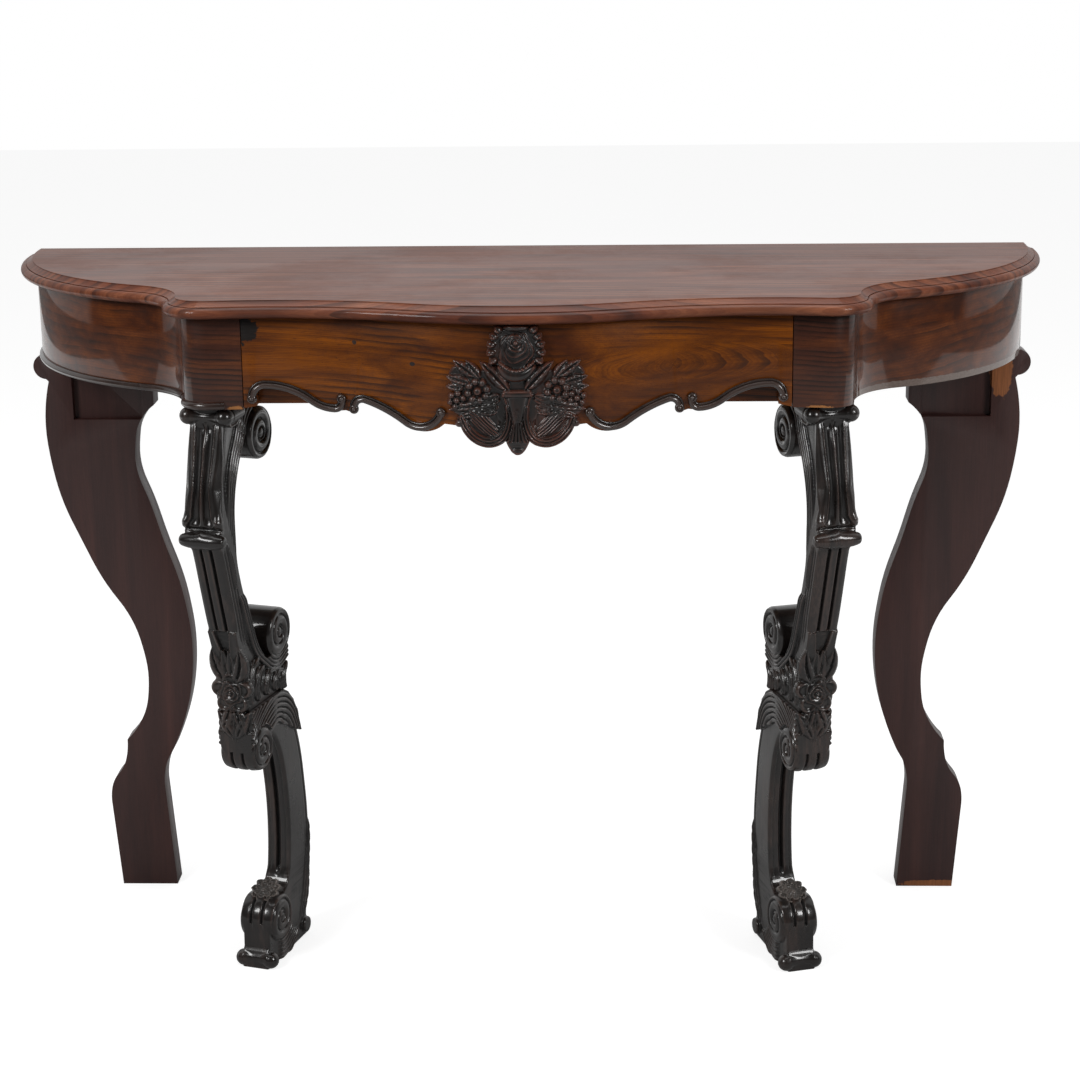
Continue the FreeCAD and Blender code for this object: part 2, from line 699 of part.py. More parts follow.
def scroll_moulding(name, scroll):
    """A stepped moulding on the bowed front, following its scroll, with an eye at each end."""
    start, heading, turns = scroll
    last = arc_chain(start, heading, turns)[-1][-1]
    reach = 2 * size("eye_radius")
    stations = spread(last[0] - reach, start[0] + reach, BAND_FLAT)
    steps = []
    for step, (half, proud) in enumerate((("moulding_wide", "moulding_low"),
                                          ("moulding_narrow", "moulding_high"))):
        width = size(half)
        band = closed(worked(arc_chain(start, heading, turns, -width)),
                      worked(turned_back(arc_chain(start, heading, turns, width))))
        shape = new_body("%s_band_%d" % (name, step))
        pad(shape, sketch_on(shape, "XZ_Plane", [band]), "300")
        skin = DOC.addObject("Part::Feature", "%s_skin_%d" % (name, step))
        skin.Shape = flat_band(stations, -size(proud), EYE_ROOT)
        steps.append(boolean("Common", "%s_step_%d" % (name, step), shape, skin))
    for end, (x, z) in enumerate((start, last)):
        for part in ("eye", "pip"):
            turned = DOC.addObject("Part::Prism", "%s_%s_%d" % (name, part, end))
            turned.Polygon = EYE_FLATS
            turned.setExpression("Circumradius", "sizes.%s_radius" % part)
            turned.setExpression("Height", "sizes.%s_proud + %d" % (part, EYE_ROOT))
            place = Vector(x, front_face_y(x) + EYE_ROOT, z)
            turned.Placement = Placement(place, Rotation(Vector(1, 0, 0), 90))
            steps.append(turned)
    moulding = boolean("Cut", name, united(name + "_whole", steps), behind_front())
    return both_sides(name, moulding, name + "_right", name + "_left")


def front_face_y(x):
    """Where the apron's face stands at a distance from the middle of the table."""
    face = Part.Wire([curve(piece).toShape() for piece in plan_path(size("apron_inset"))[:2]])
    line = Part.makeLine(Vector(x, -400, 0), Vector(x, 0, 0))
    return face.distToShape(line)[1][0][0].y


def behind_front():
    """The body of wood behind the drawer front's face, which seats the mouldings."""
    inset = size("apron_inset")
    return ring_body("behind_front", inset, inset + 20, "sizes.apron_bottom - 60", "200")


def spread(low, high, pitch):
    """Stations from one place to another, no further apart than the pitch."""
    count = math.ceil((high - low) / pitch)
    return [low + (high - low) * index / count for index in range(count + 1)]


def flat_band(stations, front, rear):
    """Upright band along the bowed face in flats, between two distances behind it, as a shape."""
    faces = [Vector(x, front_face_y(max(abs(x), 0.01)), 0) for x in stations]
    corners = [point + Vector(0, front, 0) for point in faces]
    corners += [point + Vector(0, rear, 0) for point in reversed(faces)]
    plan = Part.Face(Part.makePolygon(corners + corners[:1]))
    plan.translate(Vector(0, 0, size("apron_bottom") - 60))
    return plan.extrude(Vector(0, 0, 200))


# Carving on the middle of the drawer front, in elevation: (across, height, radius)
CARVING_GROUND = [
    (2, 789, 27), (2, 745, 30), (2, 705, 21), (-38, 748, 21), (45, 748, 21.5), (-60, 762, 14),
    (64, 762, 14.5), (-58, 730, 15), (62, 730, 15.5), (-34, 712, 20), (39, 712, 20.5),
    (-63, 717, 8.5), (66, 717, 8.5),
]
# Ground of the carving in front of the drawer front, and how deep the relief is rooted in it
CARVING_THICK = 5.0
ROOT = 2.0
# Half width of the carving's ground and the upright flats across it
GROUND_HALF = 88
GROUND_FLAT = 22
# Flats round the discs of the ground, the petals and the vase
GROUND_FLATS = 10
PETAL_FLATS = 5
VASE_FLATS = 12
# Vase: height and radius, from the rim down
VASE_ACROSS = 2.4
VASE = ((744, 15), (739, 14), (725, 8.5), (700, 7), (679, 3))
ROSE = (3, 789)
SIDE_FLOWERS = ((-38.5, 746.5), (45.5, 747))
# Leaves: root (across, height) and tip (across, height)
LEAVES = (
    ((-44, 757), (-66, 774)), ((-47, 749), (-71, 759)), ((-34, 759), (-37, 776)),
    ((51, 758), (70, 775)), ((54, 750), (76, 761)), ((39, 757), (41.5, 778)),
    ((-20, 728), (-66, 722)), ((-15, 716), (-52, 702)), ((-10, 706), (-28, 694)),
    ((25, 729), (71, 723)), ((20, 717), (57, 703)), ((15, 707), (33, 695)),
)


def joined(first, pieces, name):
    """Fuse pieces to a solid one by one, and stop if any of them is lost or stands apart."""
    whole = first
    for index, piece in enumerate(pieces):
        larger = whole.fuse(piece)
        if not larger.isValid() or len(larger.Solids) != 1 or larger.Volume < whole.Volume:
            raise RuntimeError("piece %d doesn't join %s" % (index, name))
        whole = larger.Solids[0]
    return whole


def full_ring(name, outer, inner):
    """Both halves of a serpentine band over the height of the drawer front, as a shape."""
    half = ring_body(name, outer, inner, "sizes.apron_bottom - 60", "200").Shape
    return half.fuse(half.mirror(Vector(), Vector(1, 0, 0))).removeSplitter()


def carving_surface(across):
    """Where the front of the carving's ground stands, on the bowed drawer front."""
    return front_face_y(max(abs(across), 0.01)) - CARVING_THICK


def seat_surface(across):
    """The flat back plane that a foot rosette is built on."""
    return 0.0


def flat_ring(centre, radius, count, turn=0.0):
    """Corners of a regular outline that is seen from the front."""
    corners = []
    for index in range(count):
        angle = turn + 2 * math.pi * index / count
        corners.append(centre + Vector(radius * math.cos(angle), 0, radius * math.sin(angle)))
    return corners


def cut_solid(rings):
    """A solid with flat facets between rings of corners, closed at the first and the last."""
    faces = [Part.Face(Part.makePolygon(ring + ring[:1])) for ring in (rings[0], rings[-1])]
    for low, high in zip(rings, rings[1:]):
        for index in range(len(low)):
            after = (index + 1) % len(low)
            corners = [low[index], low[after], high[after], high[index]]
            faces.append(Part.Face(Part.makePolygon(corners + corners[:1])))
    solid = Part.Solid(Part.Shell(faces))
    if solid.Volume < 0:
        solid.reverse()
    return solid


def boss(across, rise, radius, surface, height, turn=0.0):
    """A tapered boss with cut facets that stands on a surface and is rooted in it."""
    foot = Vector(across, surface(abs(across) + radius) + ROOT, rise)
    crown = Vector(across, surface(across) - height, rise)
    return cut_solid([flat_ring(foot, radius, PETAL_FLATS, turn),
                      flat_ring(crown, radius * 0.6, PETAL_FLATS, turn)])


def petal_ring(centre, reach, radius, count, surface, height, start=0.0):
    """Tapered petals set in a ring, seen from the front."""
    petals = []
    for index in range(count):
        angle = start + 2 * math.pi * index / count
        across = centre[0] + reach * math.cos(angle)
        rise = centre[1] + reach * math.sin(angle)
        petals.append(boss(across, rise, radius, surface, height, angle))
    return petals


def leaf(root, tip, height):
    """A pointed leaf of the floral carving, raised from the ground and cut to a bevel."""
    foot_y = carving_surface(max(abs(root[0]), abs(tip[0]))) + ROOT
    first, last = Vector(root[0], foot_y, root[1]), Vector(tip[0], foot_y, tip[1])
    along = last.sub(first)
    aside = Vector(-along.z, 0, along.x).normalize() * 5.5
    shares = (0.3, 0.7)
    widths = (0.9, 0.8)
    left = [first + along * share + aside * wide for share, wide in zip(shares, widths)]
    right = [first + along * share - aside * wide for share, wide in zip(shares, widths)]
    outline = [first] + left + [last] + right[::-1]
    middle = first + along * 0.5
    lift = Vector(0, carving_surface((root[0] + tip[0]) / 2) - height - foot_y, 0)
    crown = [middle + (corner - middle) * 0.7 + lift for corner in outline]
    return cut_solid([outline, crown])


def floral_carving():
    """Carved rose over a vase of leaves, with a flower at each side."""
    inset = size("apron_inset")
    face = front_face_y(0.01)
    discs = []
    for index, (across, rise, radius) in enumerate(CARVING_GROUND):
        ends = [flat_ring(Vector(across, face + depth, rise), radius, GROUND_FLATS, index)
                for depth in (-40, 20)]
        discs.append(cut_solid(ends))
    outline = discs[0].multiFuse(discs[1:]).removeSplitter()
    ground = outline.common(flat_band(spread(-GROUND_HALF, GROUND_HALF, GROUND_FLAT), -CARVING_THICK, 20))
    relief = petal_ring(ROSE, 20, 7.3, 9, carving_surface, 4.5, 0.16)
    relief += petal_ring(ROSE, 10.5, 6.3, 5, carving_surface, 7, 0.4)
    relief.append(boss(*ROSE, 7, carving_surface, 9.5))
    for flower in SIDE_FLOWERS:
        relief += petal_ring(flower, 10.5, 5.7, 6, carving_surface, 4, 0.23)
        relief.append(boss(*flower, 5, carving_surface, 6.5))
    relief += [leaf(root, tip, 3) for root, tip in LEAVES]
    relief.append(vase())
    carved = joined(ground.Solids[0], relief, "the floral carving")
    behind = full_ring("carving_behind", inset, inset + 40)
    item = DOC.addObject("Part::Feature", "carving")
    item.Shape = carved.cut(behind)
    if len(item.Shape.Solids) != 1:
        raise RuntimeError("the floral carving fell apart")
    keep(item, "floral_carving")


def vase():
    """The turned vase under the rose, half sunk in the ground."""
    axis_y = carving_surface(0) + 4
    rings = []
    for rise, radius in VASE:
        ring = flat_ring(Vector(0, 0, 0), radius, VASE_FLATS, math.pi / VASE_FLATS)
        rings.append([Vector(VASE_ACROSS + corner.x, axis_y + corner.z, rise) for corner in ring])
    return cut_solid(rings)


# ---- rear legs ------------------------------------------------------------------------------

# Right rear leg, seen from the front: (x, z)
REAR_OUTER_THIGH = [(603, 681), (609, 648), (602, 554), (562, 447), (506, 340), (498.5, 288),
                    (508, 236), (531, 203.5)]
REAR_OUTER_CALF = [(531, 203.5), (534, 177), (555, 136), (556, 112)]
REAR_INNER = [(472, 650), (490, 630), (498.5, 592), (476, 500), (445.5, 394), (439, 338),
              (442.5, 280), (468, 196), (481, 170), (485, 141)]


def rear_legs():
    """Sawn S-shaped boards with an ear under the apron and a housing for the post."""
    body = new_body("rear_leg")
    top, shoulder = size("rear_leg_top"), size("apron_bottom")
    outline = closed(
        polygon((471, top), (574, top), (574, shoulder), (607, shoulder)),
        [((607, shoulder), (621, 699), (606, 684))],
        [((606, 684), (603, 681))],
        through(REAR_OUTER_THIGH),
        through(REAR_OUTER_CALF),
        polygon((556, 112), (547.5, 0), (475, 0), (485, 141)),
        through(REAR_INNER[::-1]),
    )
    pad(body, sketch_on(body, "XZ_Plane", [outline], -size("rear_leg_front_y")),
        "sizes.rear_leg_thick", turned=True)
    outer = size("post_outer_x")
    housing = polygon((outer - size("post_wide"), size("housing_bottom")),
                      (outer, size("housing_bottom")), (outer, top + 1),
                      (outer - size("post_wide"), top + 1),
                      (outer - size("post_wide"), size("housing_bottom")))
    pocket(body, sketch_on(body, "XZ_Plane", [housing], -size("rear_leg_front_y")),
           "sizes.housing_depth", turned=False)
    both_sides("rear_leg", body, "rear_leg_right", "rear_leg_left")
    post = box("rear_post", ("sizes.post_outer_x - sizes.post_wide",
                             "sizes.rear_leg_front_y + sizes.housing_depth - sizes.post_depth",
                             "sizes.apron_bottom"),
               ("sizes.post_wide", "sizes.post_depth", "sizes.rear_leg_top - sizes.apron_bottom"))
    both_sides("rear_post", post, "rear_post_right", "rear_post_left")


# ---- front legs, drawn in the leg's own plane: (distance back from the toe, height) -----------

KNEE_FRONT = [(-62, 694), (-72, 660), (-82, 622), (-84, 590), (-80, 560), (-72, 533),
              (-59, 487), (-45, 440), (-33, 405), (-27, 375), (-26, 342)]
KNEE_BACK = [(-6, 662), (-22, 640), (-34, 610), (-39, 575), (-37, 535), (-28, 500),
             (-16, 470), (-6, 440), (6, 414), (26, 394)]
LOWER_BACK = [(60, 342), (88, 324), (108, 284), (121, 245), (129, 205), (134, 160),
              (133, 115), (126, 70), (118, 34)]
LOWER_FRONT = [(26, 300), (48, 285), (64, 255), (73, 215), (77, 170), (75, 125), (68, 92), (52, 78)]
# Volutes: distance back, height, radius, and +1 where the spiral winds inwards anticlockwise
TOP_VOLUTE = (30, 668, 31, -1)
MIDDLE_VOLUTE = (57, 417, 30, 1)
FRONT_VOLUTE = (3, 288, 28, 1)
FOOT_VOLUTE = (34, 56, 30, -1)
KNEE_ROLL = (-83, 566, 11)
HEEL_ROLL = (107, 15, 10)
TOE_ROLL = (4, 11, 10)
# Radii of a sunk spiral's half turns as shares of the volute, and the cuts in each half turn
WINDING = (0.80, 0.62, 0.44)
SPIRAL_CUTS = 4
# Flats of the carver's rounds: the rolls and the volutes
ROLL_FLATS = 14
VOLUTE_FLATS = 24


def spiral_groove(volute):
    """Outline of the groove that winds into a volute in half turns of shrinking radius."""
    x, z, radius, hand = volute
    turns = [(radius * share, 90 + 180 * (step + 1)) for step, share in enumerate(WINDING)]
    start = (radius * WINDING[0], 0)
    half = size("groove_wide") / 2
    banks = []
    for bank in (arc_chain(start, 90, turns, -half), turned_back(arc_chain(start, 90, turns, half))):
        banks.append([cut for piece in bank for cut in flats(piece, SPIRAL_CUTS)])
    return [tuple((x + hand * across, z + rise) for across, rise in piece) for piece in closed(*banks)]


def flat_round(x, z, radius, count):
    """Outline of a round that is worked in flats."""
    angles = [2 * math.pi * (index + 0.5) / count for index in range(count)]
    return closed(polygon(*[(x + radius * math.cos(a), z + radius * math.sin(a)) for a in angles]))


def leg_scroll(name, outline, wide, volutes, rolls, flutes):
    """One sawn and carved scroll: the plank, its wider volutes, flutes and sunk spirals."""
    body = new_body(name)
    pad(body, sketch_on(body, "YZ_Plane", [outline]), wide, middle=True)
    rounds = [flat_round(*volute[:3], VOLUTE_FLATS) for volute in volutes]
    pad(body, sketch_on(body, "YZ_Plane", rounds), "sizes.volute_wide", middle=True)
    for roll, roll_wide in rolls:
        pad(body, sketch_on(body, "YZ_Plane", [flat_round(*roll, ROLL_FLATS)]), str(roll_wide), middle=True)
    deep = size("flute_deep")
    for offset, path in flutes:
        floor = [(x + deep, z) for x, z in reversed(path)]
        (top_x, top_z), (low_x, low_z) = path[0], path[-1]
        slot = closed(polygon(*floor, (top_x - 20, top_z), (low_x - 20, low_z)))
        pocket(body, sketch_on(body, "YZ_Plane", [slot], offset), "sizes.flute_wide", middle=True)
    half = size("volute_wide") / 2
    for volute in volutes:
        for side in (-1, 1):
            groove = sketch_on(body, "YZ_Plane", [spiral_groove(volute)], side * half)
            pocket(body, groove, "sizes.eye_deep", turned=side < 0)
    return body


def place_leg(item):
    """Stand a piece drawn in the leg's plane at the right-hand leg, turned outwards."""
    turn = Rotation(Vector(0, 0, 1), size("leg_splay"))
    item.Placement = Placement(Vector(size("leg_x"), size("leg_y"), 0), turn)
    return item


def upper_outline():
    """Side view of the upper scroll, from the stile to the joint."""
    under = size("apron_bottom")
    joint = size("leg_joint_rise")
    return closed(
        polygon((-62, under), (-62, 694)),
        through(KNEE_FRONT),
        polygon((-26, joint), (84, joint), (84, 405), (60, 392), (26, 394)),
        through(KNEE_BACK[::-1]),
        polygon((-6, 662), (30, 690), (4, 706), (-14, under)),
    )


def lower_outline():
    """Side view of the lower scroll, from the joint to the sole."""
    joint = size("leg_joint_rise")
    return closed(
        polygon((-26, joint), (-26, 288), (3, 270), (26, 300)),
        through(LOWER_FRONT),
        polygon((52, 78), (31, 60), (10, 30), (2, 20), (2, 0), (118, 0), (118, 34)),
        through(LOWER_BACK[::-1]),
        polygon((60, 342), (-26, joint)),
    )


def front_legs():
    """Upper scroll, lower scroll and applied foot rosette of both front legs."""
    shaft_flute = KNEE_FRONT[5:9]
    foot_flute = LOWER_FRONT[3:7]
    upper = leg_scroll("leg_upper", upper_outline(), "sizes.upper_wide", [TOP_VOLUTE, MIDDLE_VOLUTE],
                       [(KNEE_ROLL, 56)], [(-6.5, shaft_flute), (6.5, shaft_flute)])
    rolls = []
    for across in (-1, 1):
        roll = DOC.addObject("Part::Prism", "capital_roll_%d" % (across + 1))
        roll.Polygon = ROLL_FLATS
        roll.setExpression("Circumradius", "sizes.capital_roll")
        roll.setExpression("Height", "sizes.capital_roll_long")
        side = across * size("capital_roll_apart")
        rear = Vector(side, size("capital_roll_back"), size("capital_roll_rise"))
        roll.Placement = Placement(rear, Rotation(Vector(1, 0, 0), 90))
        rolls.append(roll)
    whole = united("upper_scroll", [upper] + rolls)
    bored = place_leg(boolean("Cut", "upper_bored", whole, dowel_pair("pins")))
    both_sides("upper_leg", bored, "leg_upper_scroll_right", "leg_upper_scroll_left")
    lower = leg_scroll("leg_lower", lower_outline(), "sizes.lower_wide", [FRONT_VOLUTE, FOOT_VOLUTE],
                       [(HEEL_ROLL, 44), (TOE_ROLL, 52)], [(0, foot_flute)])
    both_sides("lower_leg", place_leg(lower), "leg_lower_scroll_right", "leg_lower_scroll_left")
    both_sides("rosette", rosette(lower), "foot_rosette_right", "foot_rosette_left")


def dowel_pair(name):
    """The two dowels in the top of one front leg, in the leg's own frame."""
    pins = []
    low = size("apron_bottom") - size("dowel_long") / 2
    for across in (-1, 1):
        place = Vector(across * size("dowel_apart"), size("dowel_back"), low)
        pins.append(pin("%s_%d" % (name, across + 1), "sizes.dowel_radius", "sizes.dowel_long", place))
    return united(name, pins, apart=True)


def leg_dowels():
    """The dowels of both front legs; gives back the right-hand pair."""
    right = place_leg(dowel_pair("dowels_right"))
    left = DOC.addObject("Part::Mirroring", "dowels_left")
    left.Source = right
    left.Normal = Vector(1, 0, 0)
    united("dowels", [right, left], "leg_dowels", apart=True)
    return right


def rosette(lower_scroll):
    """Small leafy rosette applied to the right-hand foot volute, cut to fit its seat."""
    petals = petal_ring((0, 0), 10.5, 5.6, 6, seat_surface, 5.5)
    flower = joined(boss(0, 0, 8.2, seat_surface, 8), petals, "the foot rosette")
    item = DOC.addObject("Part::Feature", "rosette_blank")
    item.Shape = flower
    seat = Placement(Vector(0, size("rosette_back"), size("rosette_rise")),
                     Rotation(Vector(1, 0, 0), -size("rosette_tilt")))
    place_leg(item)
    item.Placement = item.Placement.multiply(seat)
    fitted = boolean("Cut", "rosette_fitted", item, lower_scroll)
    return max_solid(fitted, "rosette")


# ---- assembly -------------------------------------------------------------------------------


def write_parts():
    """Check every object, then write one file for each node."""
    DOC.recompute()
    for item in DOC.Objects:
        if "Invalid" in item.State or "Error" in item.State:
            raise RuntimeError("%s failed: %s" % (item.Label, item.State))
    for item in NODES:
        if item.Shape.isNull() or not item.Shape.isValid():
            raise RuntimeError("%s has no valid shape" % item.Label)
    os.makedirs("parts", exist_ok=True)
    for item in NODES:
        item.Shape.exportStep(os.path.join("parts", item.Label + ".step"))
        bounds = item.Shape.BoundBox
        print("%-26s %2d solid(s) %9.0f mm3  x %7.1f %7.1f  y %7.1f %7.1f  z %6.1f %6.1f" % (
            item.Label, len(item.Shape.Solids), item.Shape.Volume, bounds.XMin, bounds.XMax,
            bounds.YMin, bounds.YMax, bounds.ZMin, bounds.ZMax))


def main():
    """Build the table from the top down, then write it."""
    screws = top_screws()
    table_top(screws)
    aprons = side_aprons()
    stiles(leg_dowels())
    side_beads()
    carcase_rails(*aprons)
    kickers(screws)
    glue_blocks()
    drawer_stops()
    sides, bottom = drawer_box()
    drawer_front(sides, bottom)
    scroll_moulding("outer_scroll", OUTER_SCROLL)
    scroll_moulding("inner_scroll", INNER_SCROLL)
    floral_carving()
    rear_legs()
    front_legs()
    write_parts()


main()
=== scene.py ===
"""Serpentine pier table: the looks of its top, apron, concealed drawer and carved scroll legs.

Lengths in the sub-assemblies are millimetres and are turned into metres when a mesh is made. The
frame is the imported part's own: +Z up, -Y to the front, the origin on the floor under the middle.
"""
import logging
import math
from dataclasses import dataclass
from enum import Enum
from typing import Optional, Sequence

import bmesh
import bpy
import numpy as np
from mathutils import Matrix, Vector


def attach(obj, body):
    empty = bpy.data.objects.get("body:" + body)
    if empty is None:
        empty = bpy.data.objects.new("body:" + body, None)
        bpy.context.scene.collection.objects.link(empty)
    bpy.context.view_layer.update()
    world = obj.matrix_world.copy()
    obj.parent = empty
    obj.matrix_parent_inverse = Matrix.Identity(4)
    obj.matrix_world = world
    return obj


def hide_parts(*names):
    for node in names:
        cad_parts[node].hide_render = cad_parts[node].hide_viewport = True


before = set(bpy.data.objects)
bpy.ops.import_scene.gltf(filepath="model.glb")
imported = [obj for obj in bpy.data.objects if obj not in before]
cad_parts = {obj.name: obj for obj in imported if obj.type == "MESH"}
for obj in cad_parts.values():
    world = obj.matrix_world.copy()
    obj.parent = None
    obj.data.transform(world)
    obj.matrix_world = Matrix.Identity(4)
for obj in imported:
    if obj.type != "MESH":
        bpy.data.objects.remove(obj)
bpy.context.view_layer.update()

LOG = logging.getLogger("pier_table")
MM = 0.001
CREST = "crest"
MOST_TRIANGLES = 190000
FAR_BELOW = -50.0
Point = tuple[float, float]
Colour = tuple[float, float, float]
Socket = bpy.types.NodeSocket


class Grain(Enum):
    """Direction that the wood's fibres run in."""

    ALONG_X = 0
    ALONG_Y = 1
    ALONG_Z = 2


class Body(Enum):
    """What a piece moves with."""

    TABLE = "table"
    DRAWER = "drawer"


# ---- finishes -------------------------------------------------------------------------------


class NodeTree:
    """A node tree, written step by step."""

    def __init__(self, tree: bpy.types.NodeTree) -> None:
        """Empty the tree."""
        self.tree = tree
        self.tree.nodes.clear()

    def step(self, kind: str, links: Optional[dict] = None, **settings: object) -> bpy.types.Node:
        """Add a node.

        Args:
            kind: type of the node.
            links: input name or number to a socket or a constant.
            settings: properties of the node.

        Returns:
            The new node.
        """
        node = self.tree.nodes.new(kind)
        for key, value in settings.items():
            setattr(node, key, value)
        for key, value in (links or {}).items():
            if isinstance(value, Socket):
                self.tree.links.new(value, node.inputs[key])
            else:
                node.inputs[key].default_value = value
        return node

    def math(self, kind: str, first: object, second: object = 0.0) -> Socket:
        """One arithmetic step."""
        return self.step("ShaderNodeMath", {0: first, 1: second}, operation=kind).outputs[0]


class Construction(NodeTree):
    """A Geometry Nodes group that makes a mesh from an object's geometry."""

    def __init__(self, name: str, **inputs: str) -> None:
        """Args:
            name: name of the group.
            inputs: kind of each further input, by its name.
        """
        self.group = bpy.data.node_groups.new(name, "GeometryNodeTree")
        super().__init__(self.group)
        face = self.group.interface
        face.new_socket("Geometry", in_out="INPUT", socket_type="NodeSocketGeometry")
        self.keys = {label: face.new_socket(label, in_out="INPUT", socket_type="NodeSocket" + kind).identifier
                     for label, kind in inputs.items()}
        face.new_socket("Geometry", in_out="OUTPUT", socket_type="NodeSocketGeometry")
        self.given = self.step("NodeGroupInput").outputs

    def close(self, geometry: Socket) -> None:
        """Make what was built real and give it its finish."""
        real = self.step("GeometryNodeRealizeInstances", {"Geometry": geometry}).outputs[0]
        paint = self.step("GeometryNodeSetMaterial", {"Geometry": real, "Material": self.given["Finish"]})
        self.step("NodeGroupOutput", {"Geometry": paint.outputs[0]})

    def fit(self, item: bpy.types.Object, **values: object) -> None:
        """Let the group work on an object.

        Args:
            item: the object, which gets a modifier.
            values: value of each further input, by its name.
        """
        modifier = item.modifiers.new(self.group.name, "NODES")
        modifier.node_group = self.group
        for label, value in values.items():
            modifier[self.keys[label]] = value


class Recipe(NodeTree):
    """A material's node tree."""

    def __init__(self, name: str) -> None:
        """Start an empty material, with the object coordinates at hand.

        Args:
            name: name of the material.
        """
        self.material = bpy.data.materials.new(name)
        self.material.use_nodes = True
        super().__init__(self.material.node_tree)
        self.place = self.tree.nodes.new("ShaderNodeTexCoord").outputs["Object"]

    def axes(self) -> Sequence:
        """The three object coordinates, in metres."""
        return self.step("ShaderNodeSeparateXYZ", {0: self.place}).outputs

    def noise(self, where: Socket, scale: float, detail: float = 4.0, roughness: float = 0.55,
              distortion: float = 0.0) -> Socket:
        """Cloudy value between 0 and 1."""
        return self.step("ShaderNodeTexNoise", {"Vector": where, "Scale": scale, "Detail": detail,
                                                "Roughness": roughness, "Distortion": distortion}).outputs["Fac"]

    def fibres(self, grain: Grain, along: float, across: float, *noise: float,
               shift: Sequence[float] = (0, 0, 0)) -> Socket:
        """Cloudy value that is drawn out along the grain.

        Args:
            grain: direction of the fibres.
            along: scale along the fibres.
            across: scale across them.
            noise: scale, detail, roughness and distortion of the clouds.
            shift: offset of the pattern.

        Returns:
            A value between 0 and 1.
        """
        scale = [across] * 3
        scale[grain.value] = along
        drawn = self.step("ShaderNodeMapping", {"Vector": self.place, "Scale": scale, "Location": shift})
        return self.noise(drawn.outputs[0], *noise)

    def plus(self, first: object, second: object) -> Socket:
        """Sum of two values."""
        return self.math("ADD", first, second)

    def minus(self, first: object, second: object) -> Socket:
        """Difference of two values."""
        return self.math("SUBTRACT", first, second)

    def times(self, first: object, second: object) -> Socket:
        """Product of two values."""
        return self.math("MULTIPLY", first, second)

    def over(self, first: object, second: object) -> Socket:
        """One value divided by another."""
        return self.math("DIVIDE", first, second)

    def length(self, vector: Socket) -> Socket:
        """Length of a vector."""
        return self.step("ShaderNodeVectorMath", {0: vector}, operation="LENGTH").outputs["Value"]

    def scaled(self, value: object, low: float, high: float, first: float, last: float,
               kind: str = "LINEAR") -> Socket:
        """Value carried over from the range low to high into the range first to last."""
        return self.step("ShaderNodeMapRange", {0: value, 1: low, 2: high, 3: first, 4: last},
                         interpolation_type=kind).outputs[0]

    def between(self, value: object, low: float, high: float) -> Socket:
        """Smooth rise from 0 at low to 1 at high (or a fall, where low is the larger)."""
        ends = (0.0, 1.0) if low <= high else (1.0, 0.0)
        return self.scaled(value, min(low, high), max(low, high), *ends, "SMOOTHSTEP")

    def ramp(self, value: Socket, *stops: tuple[float, Colour]) -> Socket:
        """Colour scale of a value.

        Args:
            value: what is coloured.
            stops: places on the scale and their colours.

        Returns:
            The colour.
        """
        node = self.step("ShaderNodeValToRGB", {0: value})
        scale = node.color_ramp
        while len(scale.elements) < len(stops):
            scale.elements.new(1.0)
        for element, (at, colour) in zip(scale.elements, stops):
            element.position = at
            element.color = (*colour, 1.0)
        return node.outputs[0]

    def blend(self, amount: object, under: Socket, above: object) -> Socket:
        """Colour laid over another.

        Args:
            amount: how much of it shows, 0 to 1.
            under: colour below.
            above: colour on top, a socket or a constant.

        Returns:
            The mixed colour.
        """
        above = above if isinstance(above, Socket) else (*above, 1.0)
        return self.step("ShaderNodeMix", {0: amount, 6: under, 7: above}, data_type="RGBA").outputs[2]

    def patch(self, centre: Sequence[float], half: Sequence[float], ragged: float) -> Socket:
        """Mask of a ragged patch on the piece.

        Args:
            centre: middle of the patch, in millimetres.
            half: half sizes of the patch, in millimetres.
            ragged: unevenness of its edge, as a share of its size.

        Returns:
            1 inside the patch, 0 outside.
        """
        scale = [1.0 / (MM * side) for side in half]
        shift = [-MM * middle * share for middle, share in zip(centre, scale)]
        moved = self.step("ShaderNodeMapping", {"Vector": self.place, "Scale": scale, "Location": shift})
        rough = self.times(self.minus(self.noise(self.place, 190.0, 5.0), 0.5), 4 * ragged)
        return self.between(self.plus(self.length(moved.outputs[0]), rough), 1.06, 0.94)

    def patched(self, colour: Socket, fibre: Socket, patches: Sequence, share: float) -> Socket:
        """Colour with local patches, each darker between the fibres.

        Args:
            colour: colour of the rest.
            fibre: clouds that are drawn out along the grain.
            patches: middle, half sizes, tint and raggedness of each.
            share: the darker tint, as a share of the tint.

        Returns:
            The colour.
        """
        for centre, half, tint, ragged in patches:
            streaks = self.ramp(fibre, (0.3, tuple(share * part for part in tint)), (0.7, tint))
            colour = self.blend(self.patch(centre, half, ragged), colour, streaks)
        return colour

    def done(self, colour: Socket, roughness: Socket, height: Socket, relief: float,
             constants: dict) -> bpy.types.Material:
        """Close the tree with the shader.

        Args:
            colour: base colour.
            roughness: roughness.
            height: bump height.
            relief: depth of the bump, in millimetres.
            constants: further constants of the shader.

        Returns:
            The finished material.
        """
        bump = self.step("ShaderNodeBump", {"Strength": 1.0, "Distance": relief * MM, "Height": height}).outputs[0]
        shader = self.step("ShaderNodeBsdfPrincipled", {"Base Color": colour, "Roughness": roughness, "Normal": bump,
                                                        **constants})
        self.step("ShaderNodeOutputMaterial", {0: shader.outputs[0]})
        return self.material


